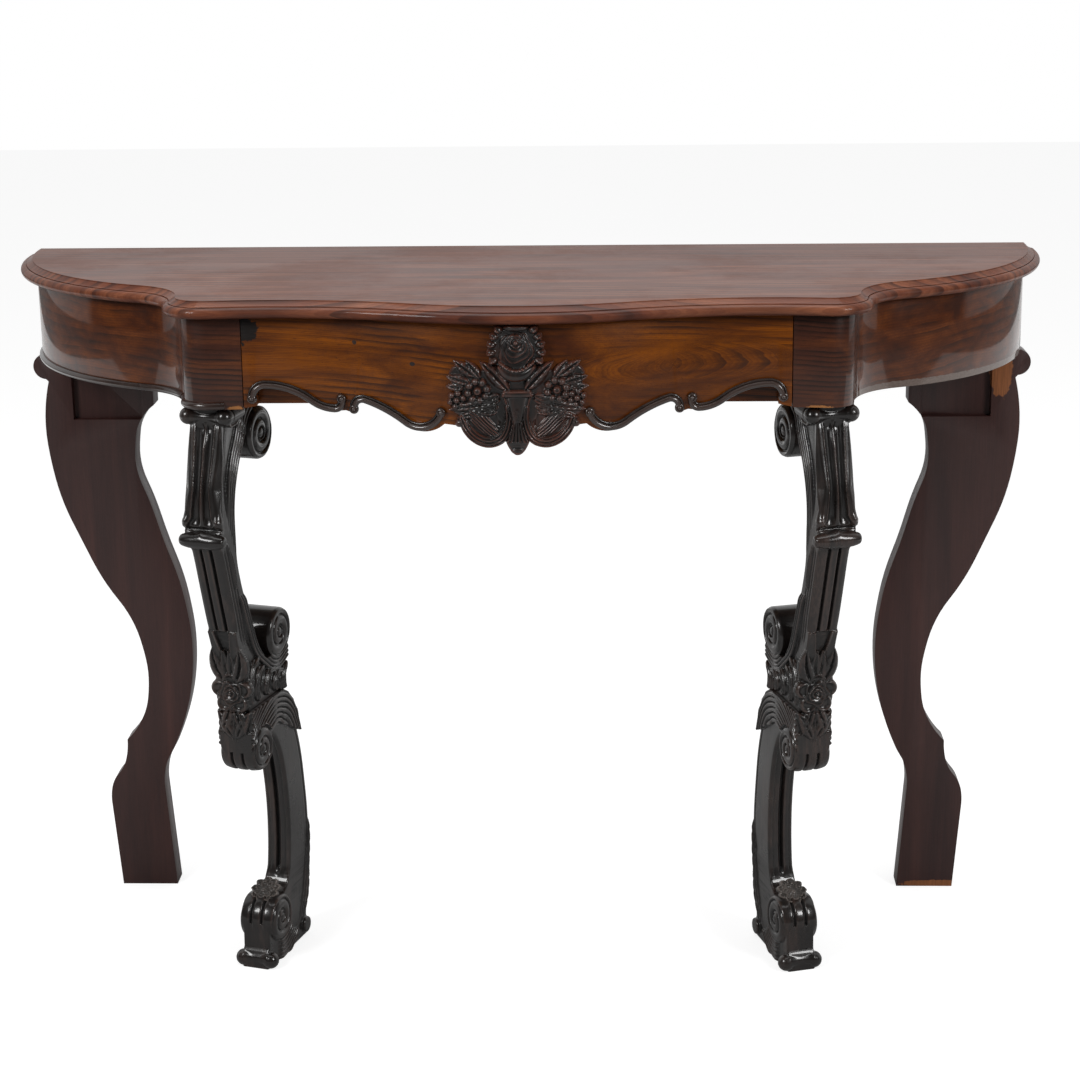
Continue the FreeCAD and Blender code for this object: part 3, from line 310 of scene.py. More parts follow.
@dataclass(frozen=True)
class Rosewood:
    """French polished rosewood or rosewood veneer, its fibres along the table."""

    name: str
    deep: Colour = (0.045, 0.012, 0.004)
    body: Colour = (0.120, 0.029, 0.004)
    glow: Colour = (0.215, 0.060, 0.006)
    vein: Colour = (0.012, 0.006, 0.004)
    across: int = 2
    spacing: float = 8.0
    slope: float = 0.05
    drift: float = 16.0
    vein_strength: float = 0.85
    gloss: float = 0.42
    coat: float = 0.5
    # Milky tint in random patches: clouded, worn polish and a painted sheen of the broad light on the top.
    haze_and_sheen: float = 0.0
    haze_and_sheen_tint: Colour = (0.17, 0.085, 0.060)
    shift: Colour = (0.0, 0.0, 0.0)
    arches: tuple = ()
    arch_slant: float = 0.30
    patches: tuple = ()

    def growth(self, mix: Recipe) -> Socket:
        """Distance across the growth lines: level lines that wander, and nested arches where the log was cut.

        Args:
            mix: the material's tree.

        Returns:
            The distance, in metres.
        """
        axes = mix.axes()
        along, across = axes[0], axes[self.across]
        broad = mix.minus(mix.fibres(Grain.ALONG_X, 1.3, 5.0, 1.0, 2.0, 0.45, shift=self.shift), 0.5)
        small = mix.minus(mix.fibres(Grain.ALONG_X, 7.0, 70.0, 1.0, 3.0, shift=self.shift), 0.5)
        lines = mix.plus(across, mix.times(along, self.slope))
        lines = mix.plus(lines, mix.times(broad, 3 * self.drift * MM))
        lines = mix.plus(lines, mix.times(small, 4.2 * MM))
        for tip, level, half, length in self.arches:
            away, beside = mix.minus(along, tip * MM), mix.minus(across, level * MM)
            steep = self.arch_slant * abs(length) * MM / (half * MM) ** 2
            arch = mix.plus(mix.times(away, math.copysign(self.arch_slant, length)),
                            mix.times(mix.times(beside, beside), steep))
            arch = mix.plus(arch, mix.times(small, 6.0 * MM))
            reach = mix.step("ShaderNodeCombineXYZ", {0: mix.over(away, 1.3 * abs(length) * MM),
                                                      1: mix.over(beside, 1.25 * half * MM)}).outputs[0]
            mask = mix.between(mix.length(reach), 1.0, 0.72)
            lines = mix.plus(lines, mix.times(mask, mix.minus(arch, lines)))
        return lines

    def material(self) -> bpy.types.Material:
        """Build the material: figure, veins, pores, worn polish, a milky tint that is partly painted sheen, and local
        marks.

        Returns:
            The material.
        """
        mix = Recipe(self.name)
        lines = self.growth(mix)
        ring = mix.math("FRACT", mix.over(lines, self.spacing * MM))
        late = mix.times(mix.between(ring, 0.30, 0.93), mix.between(ring, 1.0, 0.955))
        fine = mix.between(mix.math("FRACT", mix.over(lines, self.spacing * MM * 0.29)), 0.1, 1.0)
        soft = mix.fibres(Grain.ALONG_X, 2.0, 18.0, 2.0, 5.0, 0.6, 0.6, shift=self.shift)
        some = mix.between(mix.fibres(Grain.ALONG_X, 2.6, 34.0, 1.0, 3.0, shift=self.shift), 0.40, 0.60)
        fibre = mix.fibres(Grain.ALONG_X, 9.0, 330.0, 2.2, 3.0, 0.65)
        pores = mix.between(mix.fibres(Grain.ALONG_X, 34.0, 900.0, 1.6, 2.0, 0.6), 0.60, 0.72)
        colour = mix.ramp(soft, (0.30, self.deep), (0.48, self.body), (0.70, self.glow))
        colour = mix.blend(mix.times(fine, 0.30), colour, self.deep)
        vein = mix.times(mix.times(late, mix.plus(mix.times(some, 0.8), 0.2)), self.vein_strength)
        colour = mix.blend(vein, colour, self.vein)
        colour = mix.blend(mix.times(mix.between(fibre, 0.35, 0.75), 0.28), colour, self.deep)
        colour = mix.blend(mix.times(pores, 0.55), colour, self.vein)
        worn = mix.between(mix.noise(mix.place, 5.0, 6.0, 0.65), 0.42, 0.72)
        # Milky tint: worn polish and a painted sheen.
        if self.haze_and_sheen:
            colour = mix.blend(mix.times(worn, self.haze_and_sheen), colour, self.haze_and_sheen_tint)
        colour = mix.patched(colour, fibre, self.patches, 0.6)
        rough = mix.scaled(mix.plus(worn, mix.times(fibre, 0.4)), 0.0, 1.4, self.gloss * 0.75, self.gloss * 1.5)
        height = mix.plus(mix.times(fibre, 0.5), mix.times(pores, -0.7))
        return mix.done(colour, rough, height, 0.04, {"Specular IOR Level": 0.12, "Coat Weight": self.coat,
                                                      "Coat Roughness": 0.06, "Coat IOR": 1.5})


@dataclass(frozen=True)
class Ebonised:
    """Near-black carved wood: crests lighter with worn polish and a painted highlight; hollows in the hollow colour,
    painted shade where it is darker than the black, dust where it is paler.
    """

    name: str
    black: Colour = (0.0065, 0.0050, 0.0045)
    # Crest colour: polish worn through, with a painted highlight on the proud carving.
    rubbed_and_highlight: Colour = (0.050, 0.030, 0.024)
    # Hollow colour: painted shade where it is darker than the black, dust where it is paler.
    hollow: Colour = (0.0030, 0.0026, 0.0024)
    gloss: float = 0.26
    coat: float = 0.6

    def material(self) -> bpy.types.Material:
        """Build the material; it reads the piece's crest attribute.

        Returns:
            The material.
        """
        mix = Recipe(self.name)
        crest = mix.step("ShaderNodeAttribute", attribute_name=CREST).outputs["Fac"]
        cloud = mix.noise(mix.place, 30.0, 6.0, 0.6)
        fibre = mix.fibres(Grain.ALONG_Z, 16.0, 260.0, 2.0, 3.0, 0.6)
        broad = mix.fibres(Grain.ALONG_Z, 6.0, 22.0, 1.0, 5.0, 0.65)
        colour = mix.ramp(cloud, (0.35, self.black), (0.75, tuple(2.2 * part for part in self.black)))
        colour = mix.blend(mix.times(mix.between(broad, 0.48, 0.68), 0.7), colour, self.rubbed_and_highlight)
        colour = mix.blend(mix.times(mix.between(fibre, 0.40, 0.62), 0.6), colour, self.black)
        # Crests lighter: worn polish and a painted highlight.
        high = mix.between(mix.plus(crest, mix.times(cloud, 0.5)), 0.72, 1.05)
        colour = mix.blend(mix.times(high, 0.75), colour, self.rubbed_and_highlight)
        # Hollows tinted: painted shade with the darker hollow colours, dust with the paler one.
        low = mix.between(mix.minus(crest, mix.times(cloud, 0.3)), 0.22, 0.02)
        colour = mix.blend(mix.times(low, 0.8), colour, self.hollow)
        rough = mix.scaled(mix.plus(low, mix.times(cloud, 0.6)), 0.2, 1.4, self.gloss, 0.75)
        height = mix.plus(mix.times(fibre, 0.5), mix.times(cloud, 0.7))
        return mix.done(colour, rough, height, 0.22, {"Specular IOR Level": 0.4, "Coat Weight": self.coat,
                                                      "Coat Roughness": 0.09, "Coat IOR": 1.5})


@dataclass(frozen=True)
class StainedWood:
    """Plain sawn wood under a thin dark stain, or left bare."""

    name: str
    grain: Grain
    dark: Colour
    pale: Colour
    satin: float = 0.5
    sheen: float = 0.15
    scuffs: float = 0.35
    patches: tuple = ()

    def material(self) -> bpy.types.Material:
        """Build the material: growth bands, fibre, scuffs and local raw patches.

        Returns:
            The material.
        """
        mix = Recipe(self.name)
        bands = mix.fibres(self.grain, 1.3, 18.0, 2.0, 4.0, 0.55, 0.6, shift=(0.3, 0.1, 0.7))
        fibre = mix.fibres(self.grain, 10.0, 380.0, 2.0, 3.0, 0.65)
        value = mix.plus(mix.times(bands, 0.65), mix.times(fibre, 0.35))
        colour = mix.ramp(value, (0.34, self.dark), (0.66, self.pale))
        scuff = mix.between(mix.noise(mix.place, 16.0, 8.0, 0.72), 0.58, 0.74)
        worn = tuple(min(1.0, 1.7 * part + 0.01) for part in self.pale)
        colour = mix.blend(mix.times(scuff, self.scuffs), colour, worn)
        colour = mix.patched(colour, fibre, self.patches, 0.55)
        rough = mix.scaled(mix.plus(scuff, fibre), 0.2, 1.6, self.satin * 0.8, min(0.95, self.satin * 1.5))
        height = mix.plus(mix.times(fibre, 0.8), mix.times(bands, 0.2))
        return mix.done(colour, rough, height, 0.15, {"Specular IOR Level": 0.2, "Coat Weight": self.sheen,
                                                      "Coat Roughness": 0.28})


@dataclass(frozen=True)
class OldSteel:
    """Dull steel of hand-driven screws, browned at the slot."""

    name: str = "dull_screw_steel"

    def material(self) -> bpy.types.Material:
        """Build the material.

        Returns:
            The material.
        """
        mix = Recipe(self.name)
        cloud = mix.noise(mix.place, 420.0, 6.0, 0.7)
        colour = mix.ramp(cloud, (0.35, (0.30, 0.28, 0.26)), (0.68, (0.16, 0.09, 0.05)))
        rough = mix.scaled(cloud, 0.3, 0.7, 0.35, 0.75)
        return mix.done(colour, rough, cloud, 0.05, {"Metallic": 0.9})


# ---- meshes ---------------------------------------------------------------------------------


def new_object(name: str, data: Optional[bpy.types.ID]) -> bpy.types.Object:
    """Put a new object in the scene.

    Args:
        name: its name.
        data: its mesh, light or camera, or nothing.

    Returns:
        The object, at the origin.
    """
    item = bpy.data.objects.new(name, data)
    bpy.context.scene.collection.objects.link(item)
    return item


def new_piece(name: str, vertices: np.ndarray, faces: Sequence, material: bpy.types.Material,
              smooth: float = 35.0) -> bpy.types.Object:
    """Make a mesh object from points in millimetres.

    Args:
        name: name of the piece.
        vertices: points, one a row.
        faces: rows of point numbers.
        material: its finish.
        smooth: largest angle that is shaded smooth, in degrees.

    Returns:
        The object, at the origin.
    """
    mesh = bpy.data.meshes.new(name)
    rows = faces.tolist() if isinstance(faces, np.ndarray) else faces
    mesh.from_pydata((np.asarray(vertices, dtype=float) * MM).tolist(), [], rows)
    mesh.validate()
    mesh.materials.append(material)
    piece = new_object(name, mesh)
    shade(piece, smooth)
    return piece


def shade(piece: bpy.types.Object, angle: float) -> None:
    """Shade a piece smooth, with sharp edges above an angle in degrees."""
    piece.data.shade_smooth()
    piece.data.set_sharp_from_angle(angle=math.radians(angle))


def turn_outwards(mesh: bpy.types.Mesh) -> None:
    """Turn every face of a closed mesh outwards.

    Args:
        mesh: the mesh, changed in place.
    """
    work = bmesh.new()
    work.from_mesh(mesh)
    bmesh.ops.recalc_face_normals(work, faces=work.faces)
    work.to_mesh(mesh)
    work.free()


def mark_crests(piece: bpy.types.Object, values: np.ndarray) -> None:
    """Store how far each point stands proud, from 0 to 1, for the finish."""
    layer = piece.data.attributes.new(CREST, "FLOAT", "POINT")
    layer.data.foreach_set("value", values.astype(np.float32))


def put(piece: bpy.types.Object, body: Body, slot: str, *nodes: str) -> None:
    """Let a piece ride on its body and stand for its nodes.

    Args:
        piece: the finished piece.
        body: what it moves with.
        slot: not used.
        nodes: nodes that it stands for.
    """
    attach(piece, body.value)
    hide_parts(*nodes)
    LOG.info("%s: %d faces, rides on the %s", piece.name, len(piece.data.polygons), body.value)


def eased_copy(node: str, name: str, material: bpy.types.Material, ease: float) -> bpy.types.Object:
    """A node's own form with its sharp edges eased, as a scraper leaves them.

    Args:
        node: node that is copied.
        name: name of the new piece.
        material: its finish.
        ease: width of the eased edges, in millimetres.

    Returns:
        The new piece.
    """
    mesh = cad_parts[node].data.copy()
    mesh.name = name
    work = bmesh.new()
    work.from_mesh(mesh)
    bmesh.ops.remove_doubles(work, verts=work.verts, dist=0.02 * MM)
    bmesh.ops.dissolve_limit(work, angle_limit=math.radians(0.4), verts=work.verts, edges=work.edges)
    work.to_mesh(mesh)
    work.free()
    mesh.materials.clear()
    mesh.materials.append(material)
    piece = new_object(name, mesh)
    bevel = piece.modifiers.new("eased_edges", "BEVEL")
    bevel.width = ease * MM
    bevel.segments = 2
    bevel.limit_method = "ANGLE"
    bevel.angle_limit = math.radians(38)
    bevel.use_clamp_overlap = True
    bake(piece)
    shade(piece, 32.0)
    return piece


def bake(piece: bpy.types.Object) -> None:
    """Turn a piece with modifiers into its plain evaluated mesh.

    Args:
        piece: the piece, changed in place.
    """
    graph = bpy.context.evaluated_depsgraph_get()
    mesh = bpy.data.meshes.new_from_object(piece.evaluated_get(graph))
    piece.modifiers.clear()
    piece.data = mesh


def ring_faces(rings: int, count: int) -> list:
    """Faces of a turned form: rings of points, one over another.

    Args:
        rings: number of rings.
        count: number of points in a ring.

    Returns:
        Rows of point numbers.
    """
    return [[ring * count + index, ring * count + (index + 1) % count, (ring + 1) * count + (index + 1) % count,
             (ring + 1) * count + index] for ring in range(rings - 1) for index in range(count)]


def joined(name: str, first: bpy.types.Object, second: bpy.types.Object) -> bpy.types.Object:
    """Join a second piece into the first one.

    Args:
        name: name of the joined piece.
        first: the piece that is kept.
        second: a piece with the same finish.

    Returns:
        The joined piece.
    """
    work = bmesh.new()
    work.from_mesh(first.data)
    work.from_mesh(second.data)
    work.to_mesh(first.data)
    work.free()
    bpy.data.objects.remove(second)
    first.name = first.data.name = name
    return first


# ---- carved forms -----------------------------------------------------------------------------


def rise(value: np.ndarray, low: float, high: float) -> np.ndarray:
    """Smooth step from 0 at low to 1 at high."""
    share = np.clip((value - low) / (high - low), 0.0, 1.0)
    return share * share * (3.0 - 2.0 * share)


def ridge(value: np.ndarray, width: float, power: int = 2) -> np.ndarray:
    """Bump of height 1 where the value is 0, which falls away over a width."""
    return np.exp(-(value / width) ** power)


def dome(share: np.ndarray) -> np.ndarray:
    """Round rise from 0 at share 1 to 1 at share 0."""
    return np.sqrt(np.clip(1.0 - share ** 2, 0.0, 1.0))


def merged(first: np.ndarray, second: np.ndarray, soft: float) -> np.ndarray:
    """Union of two distance fields with a soft inner corner."""
    share = np.clip(0.5 + 0.5 * (second - first) / soft, 0.0, 1.0)
    return second + (first - second) * share - soft * share * (1.0 - share)


def common(first: np.ndarray, second: np.ndarray, soft: float) -> np.ndarray:
    """Common part of two distance fields with a rounded edge."""
    return -merged(-first, -second, soft)


def flowing(points: Sequence[Point], steps: int = 6) -> np.ndarray:
    """Smooth line through a few points.

    Args:
        points: the points, in order.
        steps: divisions between two of them.

    Returns:
        The points of the line, one a row.
    """
    given = np.array(points, dtype=float)
    ends = np.vstack([2 * given[0] - given[1], given, 2 * given[-1] - given[-2]])
    share = np.linspace(0, 1, steps, endpoint=False)[:, None]
    rows = []
    for index in range(1, len(ends) - 2):
        before, first, last, after = ends[index - 1:index + 3]
        rows.append(0.5 * (2 * first + (last - before) * share
                           + (2 * before - 5 * first + 4 * last - after) * share ** 2
                           + (3 * first - before - 3 * last + after) * share ** 3))
    rows.append(given[-1:])
    return np.vstack(rows)


def line_distance(u: np.ndarray, v: np.ndarray, line: np.ndarray) -> tuple[np.ndarray, np.ndarray, np.ndarray]:
    """Distance of every grid point to a line.

    Args:
        u: first coordinate of the grid.
        v: second coordinate.
        line: points of the line.

    Returns:
        The distance, the side (positive on the left), and the share of the line's length.
    """
    best = np.full(u.shape, 1e9)
    side = np.zeros(u.shape)
    share = np.zeros(u.shape)
    lengths = np.hypot(*np.diff(line, axis=0).T)
    total, run = lengths.sum(), 0.0
    for (ax, ay), (bx, by), length in zip(line[:-1], line[1:], lengths):
        along = np.clip(((u - ax) * (bx - ax) + (v - ay) * (by - ay)) / length ** 2, 0.0, 1.0)
        gap = np.hypot(u - ax - along * (bx - ax), v - ay - along * (by - ay))
        near = gap < best
        best = np.where(near, gap, best)
        turn = (bx - ax) * (v - ay) - (by - ay) * (u - ax)
        side = np.where(near, np.sign(turn), side)
        share = np.where(near, (run + along * length) / total, share)
        run += length
    return best, side, share


def outline_field(u: np.ndarray, v: np.ndarray, outline: np.ndarray) -> np.ndarray:
    """Signed distance to a closed outline.

    Args:
        u: first coordinate of the grid.
        v: second coordinate.
        outline: corners of the outline.

    Returns:
        The distance, negative inside.
    """
    loop = np.vstack([outline, outline[:1]])
    gap = line_distance(u, v, loop)[0]
    inside = np.zeros(u.shape, dtype=bool)
    for (ax, ay), (bx, by) in zip(loop[:-1], loop[1:]):
        if ay == by:
            continue
        crosses = (v < ay) != (v < by)
        inside ^= crosses & (u < (bx - ax) * (v - ay) / (by - ay) + ax)
    return np.where(inside, -gap, gap)


def reeds(distance: np.ndarray, pitch: np.ndarray | float, count: int, height: float) -> np.ndarray:
    """Rounded ridges side by side, with sharp grooves between them.

    Args:
        distance: distance from the first groove.
        pitch: width of one ridge.
        count: number of ridges.
        height: height of a ridge.

    Returns:
        The relief.
    """
    turns = distance / pitch
    wave = 2.0 * (turns - np.floor(turns)) - 1.0
    crest = dome(wave) * height
    return np.where((turns > 0) & (turns < count), crest, 0.0)


def spiral(u: np.ndarray, v: np.ndarray, centre: Point, radius: float, hand: int, start: float,
           turns: float = 1.9, eye: float = 0.2) -> np.ndarray:
    """Relief of a volute: one ridge that winds in to an eye.

    Args:
        u: first coordinate of the grid.
        v: second coordinate.
        centre: middle of the volute.
        radius: its outer radius.
        hand: 1 where it winds inwards anticlockwise, else -1.
        start: angle where the ridge begins, in degrees.
        turns: number of turns.
        eye: radius of the eye, as a share of the radius.

    Returns:
        Depth below the face of the volute, as a share: 0 on the crests, 1 in the grooves.
    """
    reach = np.hypot(u - centre[0], v - centre[1]) / radius
    angle = np.arctan2(v - centre[1], u - centre[0]) - math.radians(start)
    pitch = (1.0 - eye) / turns
    phase = (1.0 - reach) / pitch - hand * angle / (2 * math.pi)
    wave = phase - np.floor(phase)
    depth = 1.0 - np.clip(np.sin(math.pi * np.clip((wave - 0.10) / 0.90, 0, 1)), 0, 1) ** 0.45
    return np.where(reach < eye * 1.25, 1.0 - dome(reach / (eye * 1.1)), depth) * (reach < 1.2)


class Relief:
    """Height of a carving over a flat grid, built up from its leaves, petals and berries."""

    def __init__(self, u: np.ndarray, v: np.ndarray, floor: float = 0.0) -> None:
        """Start from a level ground.

        Args:
            u: first coordinate of the grid.
            v: second coordinate.
            floor: height of the ground.
        """
        self.u, self.v = u, v
        self.height = np.full(u.shape, floor, dtype=float)

    def lay(self, form: np.ndarray, inside: np.ndarray) -> None:
        """Lay a form over what is there, inside its outline and where it stands higher."""
        self.height = np.where(inside & (form > self.height), form, self.height)

    def berry(self, centre: Point, radius: float, foot: float, top: float, dimple: bool = False) -> None:
        """Round berry or bud.

        Args:
            centre: its middle.
            radius: its radius.
            foot: height that it springs from.
            top: height of its crown.
            dimple: whether its crown has a small pit.
        """
        reach = np.hypot(self.u - centre[0], self.v - centre[1]) / radius
        form = foot + (top - foot) * dome(reach)
        if dimple:
            form -= 1.3 * ridge(reach, 0.28)
        self.lay(form, reach < 1.0)

    def petals(self, centre: Point, reach: float, radius: float, count: int, foot: float, top: float,
               turn: float) -> None:
        """Ring of cupped petals.

        Args:
            centre: middle of the ring.
            reach: distance of the petals from it.
            radius: half width of a petal.
            count: number of petals.
            foot: height they spring from.
            top: height of their rims.
            turn: angle of the first, in degrees.
        """
        for index in range(count):
            angle = math.radians(turn) + 2 * math.pi * index / count
            mid_u = centre[0] + reach * math.cos(angle)
            mid_v = centre[1] + reach * math.sin(angle)
            out = (self.u - mid_u) * math.cos(angle) + (self.v - mid_v) * math.sin(angle)
            aside = -(self.u - mid_u) * math.sin(angle) + (self.v - mid_v) * math.cos(angle)
            share = np.hypot(out / (radius * 1.15), aside / radius)
            cup = foot + (top - foot) * (0.45 * dome(share) + 0.55 * ridge(share - 0.78, 0.20))
            cup += 0.6 * np.clip(out / radius, -1, 1)
            self.lay(cup, share < 1.0)

    def bead(self, centre: Point, long: float, wide: float, angle: float, foot: float, top: float) -> None:
        """Oval lobe, undercut along its lower side.

        Args:
            centre: its middle.
            long: half its length.
            wide: half its width.
            angle: direction of its length, in degrees.
            foot: height of its edge.
            top: height of its crown.
        """
        turn = math.radians(angle)
        along = ((self.u - centre[0]) * math.cos(turn) + (self.v - centre[1]) * math.sin(turn)) / long
        beside = ((self.v - centre[1]) * math.cos(turn) - (self.u - centre[0]) * math.sin(turn)) / wide
        reach = np.hypot(along, beside)
        self.lay(foot + (top - foot) * dome(reach), reach < 1.0)

    def frond(self, points: Sequence[Point], width: float, foot: float, top: float, pitch: float,
              depth: float = 1.3, blunt: float = 0.0) -> None:
        """Ridged leaf or scroll that follows a line.

        Args:
            points: points of its middle line, from the root to the tip.
            width: half width at the widest place.
            foot: height of its edge.
            top: height of its middle.
            pitch: width of one ridge.
            depth: depth of the grooves between the ridges.
            blunt: half width that is left at both ends, as a share.
        """
        gap, side, along = line_distance(self.u, self.v, flowing(points))
        half = width * (blunt + (1 - blunt) * np.sin(math.pi * np.clip(along, 0, 1) ** 0.8) ** 0.7) + 0.2
        across = gap / half
        wave = 2.0 * np.abs(gap * side / pitch - np.floor(gap * side / pitch) - 0.5)
        form = foot + (top - foot) * dome(across) - depth * wave ** 2
        self.lay(np.maximum(form, foot), across < 1.0)

    def leaf(self, root: Point, bend: Point, tip: Point, width: float, foot: float, top: float,
             veins: int = 0) -> None:
        """Pointed leaf with a sunk midrib and turned-up sides.

        Args:
            root: where the leaf springs.
            bend: point that its midrib bends towards.
            tip: its point.
            width: half width at the widest place.
            foot: height of its edge.
            top: height of its folds.
            veins: number of side veins.
        """
        share = np.linspace(0, 1, 14)[:, None]
        line = ((1 - share) ** 2 * np.array(root) + 2 * share * (1 - share) * np.array(bend)
                + share ** 2 * np.array(tip))
        gap, _, along = line_distance(self.u, self.v, line)
        half = width * np.sin(math.pi * np.clip(along, 0.0, 1.0) ** 0.75) ** 0.8 + 0.25
        across = gap / half
        fold = np.clip(np.sin(math.pi * np.clip(across, 0, 1) ** 0.8), 0, 1)
        form = foot + (top - foot) * (0.30 + 0.70 * fold) * (0.35 + 0.65 * np.sin(math.pi * (0.15 + 0.8 * along)))
        if veins:
            form -= 0.55 * np.clip(np.cos(2 * math.pi * (along * veins - across * 0.8)), 0, 1) * fold
        self.lay(form, across < 1.0)


def carved_mesh(field_values: np.ndarray, low: Sequence[float], step: float
                ) -> tuple[np.ndarray, np.ndarray, np.ndarray]:
    """Closed skin of a distance field.

    Args:
        field_values: the field on a regular grid, negative inside.
        low: place of its first point.
        step: distance between its points.

    Returns:
        The points, the four-sided faces turned outwards, and how far each point stands proud.
    """
    inside = field_values < 0
    size = np.array(field_values.shape) - 1
    corners = [(i, j, k) for i in (0, 1) for j in (0, 1) for k in (0, 1)]
    count = np.zeros(size, dtype=np.int8)
    for i, j, k in corners:
        count += inside[i:i + size[0], j:j + size[1], k:k + size[2]]
    mixed = (count > 0) & (count < 8)
    cells = np.argwhere(mixed)
    number = np.full(size, -1, dtype=np.int64)
    number[mixed] = np.arange(len(cells))
    values = {corner: field_values[tuple((cells + corner).T)] for corner in corners}
    total = np.zeros((len(cells), 3))
    hits = np.zeros(len(cells))
    for first in corners:
        for axis in range(3):
            if first[axis]:
                continue
            last = tuple(part + (index == axis) for index, part in enumerate(first))
            fa, fb = values[first], values[last]
            cut = (fa < 0) != (fb < 0)
            share = np.where(cut, fa / np.where(cut, fa - fb, 1.0), 0.0)
            where = np.array(first, dtype=float)[None, :] + share[:, None] * np.eye(3)[axis][None, :]
            total += np.where(cut[:, None], where, 0.0)
            hits += cut
    points = (cells + total / hits[:, None]) * step + np.array(low)
    faces = []
    for axis in range(3):
        u, v = [(1, 2), (2, 0), (0, 1)][axis]
        start = [slice(None)] * 3
        start[axis] = slice(0, -1)
        end = [slice(None)] * 3
        end[axis] = slice(1, None)
        here, there = inside[tuple(start)], inside[tuple(end)]
        at = np.argwhere(here != there)
        at = at[(at[:, u] > 0) & (at[:, v] > 0) & (at[:, u] < size[u]) & (at[:, v] < size[v])]
        leaving = here[tuple(at.T)]
        back_u, back_v = np.eye(3, dtype=int)[u], np.eye(3, dtype=int)[v]
        ring = [number[tuple((at - back_u * a - back_v * b).T)] for a, b in ((1, 1), (0, 1), (0, 0), (1, 0))]
        quads = np.stack(ring, axis=1)
        quads[~leaving] = quads[~leaving][:, ::-1]
        faces.append(quads)
    return points, np.vstack(faces), proudness(field_values, cells)


def proudness(field_values: np.ndarray, cells: np.ndarray) -> np.ndarray:
    """How far the surface stands above its surroundings.

    Args:
        field_values: the distance field.
        cells: cells that the surface passes through.

    Returns:
        A value for each cell, from 0 in hollows to 1 on crests.
    """
    reach = 3
    inner = np.clip(cells, reach, np.array(field_values.shape) - 1 - reach)
    here = field_values[tuple(inner.T)]
    around = np.zeros(len(cells))
    for axis in range(3):
        for side in (-reach, reach):
            move = np.zeros(3, dtype=int)
            move[axis] = side
            around += field_values[tuple((inner + move).T)]
    return np.clip(0.42 + 0.30 * (around / 6.0 - here), 0.0, 1.0)


def carved_piece(name: str, points: np.ndarray, faces: np.ndarray, crest: np.ndarray,
                 material: bpy.types.Material) -> bpy.types.Object:
    """Mesh object of a carved skin, thinned where it is very fine, with its crest attribute.

    Args:
        name: name of the piece.
        points: points in millimetres, in the table's frame.
        faces: rows of point numbers.
        crest: how far each point stands proud.
        material: its finish.

    Returns:
        The piece.
    """
    piece = new_piece(name, points, faces, material, 180.0)
    mark_crests(piece, crest)
    piece.data.calc_loop_triangles()
    count = len(piece.data.loop_triangles)
    if count > MOST_TRIANGLES:
        thin = piece.modifiers.new("thin", "DECIMATE")
        thin.ratio = MOST_TRIANGLES / count
        bake(piece)
    return piece


# ---- plan of the table ------------------------------------------------------------------------


def tangent_arcs(start: Point, heading: float, turns: Sequence[Point], spacing: float, inset: float = 0.0,
                 fewest: int = 3) -> np.ndarray:
    """Points along arcs that run on from one another.

    Args:
        start: first point of the line that the arcs follow.
        heading: direction at the start, in degrees.
        turns: radius and new heading of each arc.
        spacing: distance between the points.
        inset: how far to the left of that line the points lie.
        fewest: least number of steps in an arc.

    Returns:
        The points after the start, one a row.
    """
    x, y = start
    rows = []
    for radius, new_heading in turns:
        first, last = math.radians(heading), math.radians(new_heading)
        side = 1 if last > first else -1
        cx, cy = x - side * radius * math.sin(first), y + side * radius * math.cos(first)
        count = max(fewest, round(radius * abs(last - first) / spacing))
        angle = np.linspace(first, last, count + 1)[1:]
        reach = side * radius - inset
        rows.append(np.column_stack([cx + reach * np.sin(angle), cy - reach * np.cos(angle)]))
        x, y = cx + side * radius * math.sin(last), cy - side * radius * math.cos(last)
        heading = new_heading
    return np.vstack(rows)


@dataclass(frozen=True)
class Plan:
    """Serpentine plan of the top: tangent arcs from the middle of the front to the wall."""

    front: float = -209.6
    back: float = 224.0
    apron_inset: float = 5.0
    bow_end: float = 330.0
    arcs: tuple = ((345.0, 19.5), (468.0, -8.5), (35.0, 86.0), (88.0, 23.0), (298.0, 90.0))

    def half(self, inset: float, spacing: float) -> np.ndarray:
        """Right half of the plan.

        Args:
            inset: distance inside the flat of the top.
            spacing: distance between the points.

        Returns:
            Points from the middle of the front to the wall.
        """
        bow = tangent_arcs((0.0, self.front), 0.0, self.arcs, spacing, inset, 4)
        return np.vstack([[[0.0, self.front + inset]], bow, [[bow[-1, 0], self.back]]])

    def whole(self, inset: float, spacing: float = 4.0) -> np.ndarray:
        """Whole plan.

        Args:
            inset: distance inside the flat of the top.
            spacing: distance between the points.

        Returns:
            Points from the left-hand end of the wall round the front to the right-hand end.
        """
        right = self.half(inset, spacing)
        left = right[::-1][:-1] * np.array([-1.0, 1.0])
        return np.vstack([left, right])

    def face(self, across: np.ndarray) -> np.ndarray:
        """Depth of the apron's face.

        Args:
            across: distances from the middle of the table.

        Returns:
            The face's place from front to back, there.
        """
        line = self.half(self.apron_inset, 2.0)
        front = line[: int(np.argmax(line[:, 0] > self.bow_end))]
        return np.interp(np.abs(across), front[:, 0], front[:, 1])


PLAN = Plan()


def at_level(path: np.ndarray, level: float) -> np.ndarray:
    """A flat path set at a height."""
    return np.column_stack([path, np.full(len(path), level)])


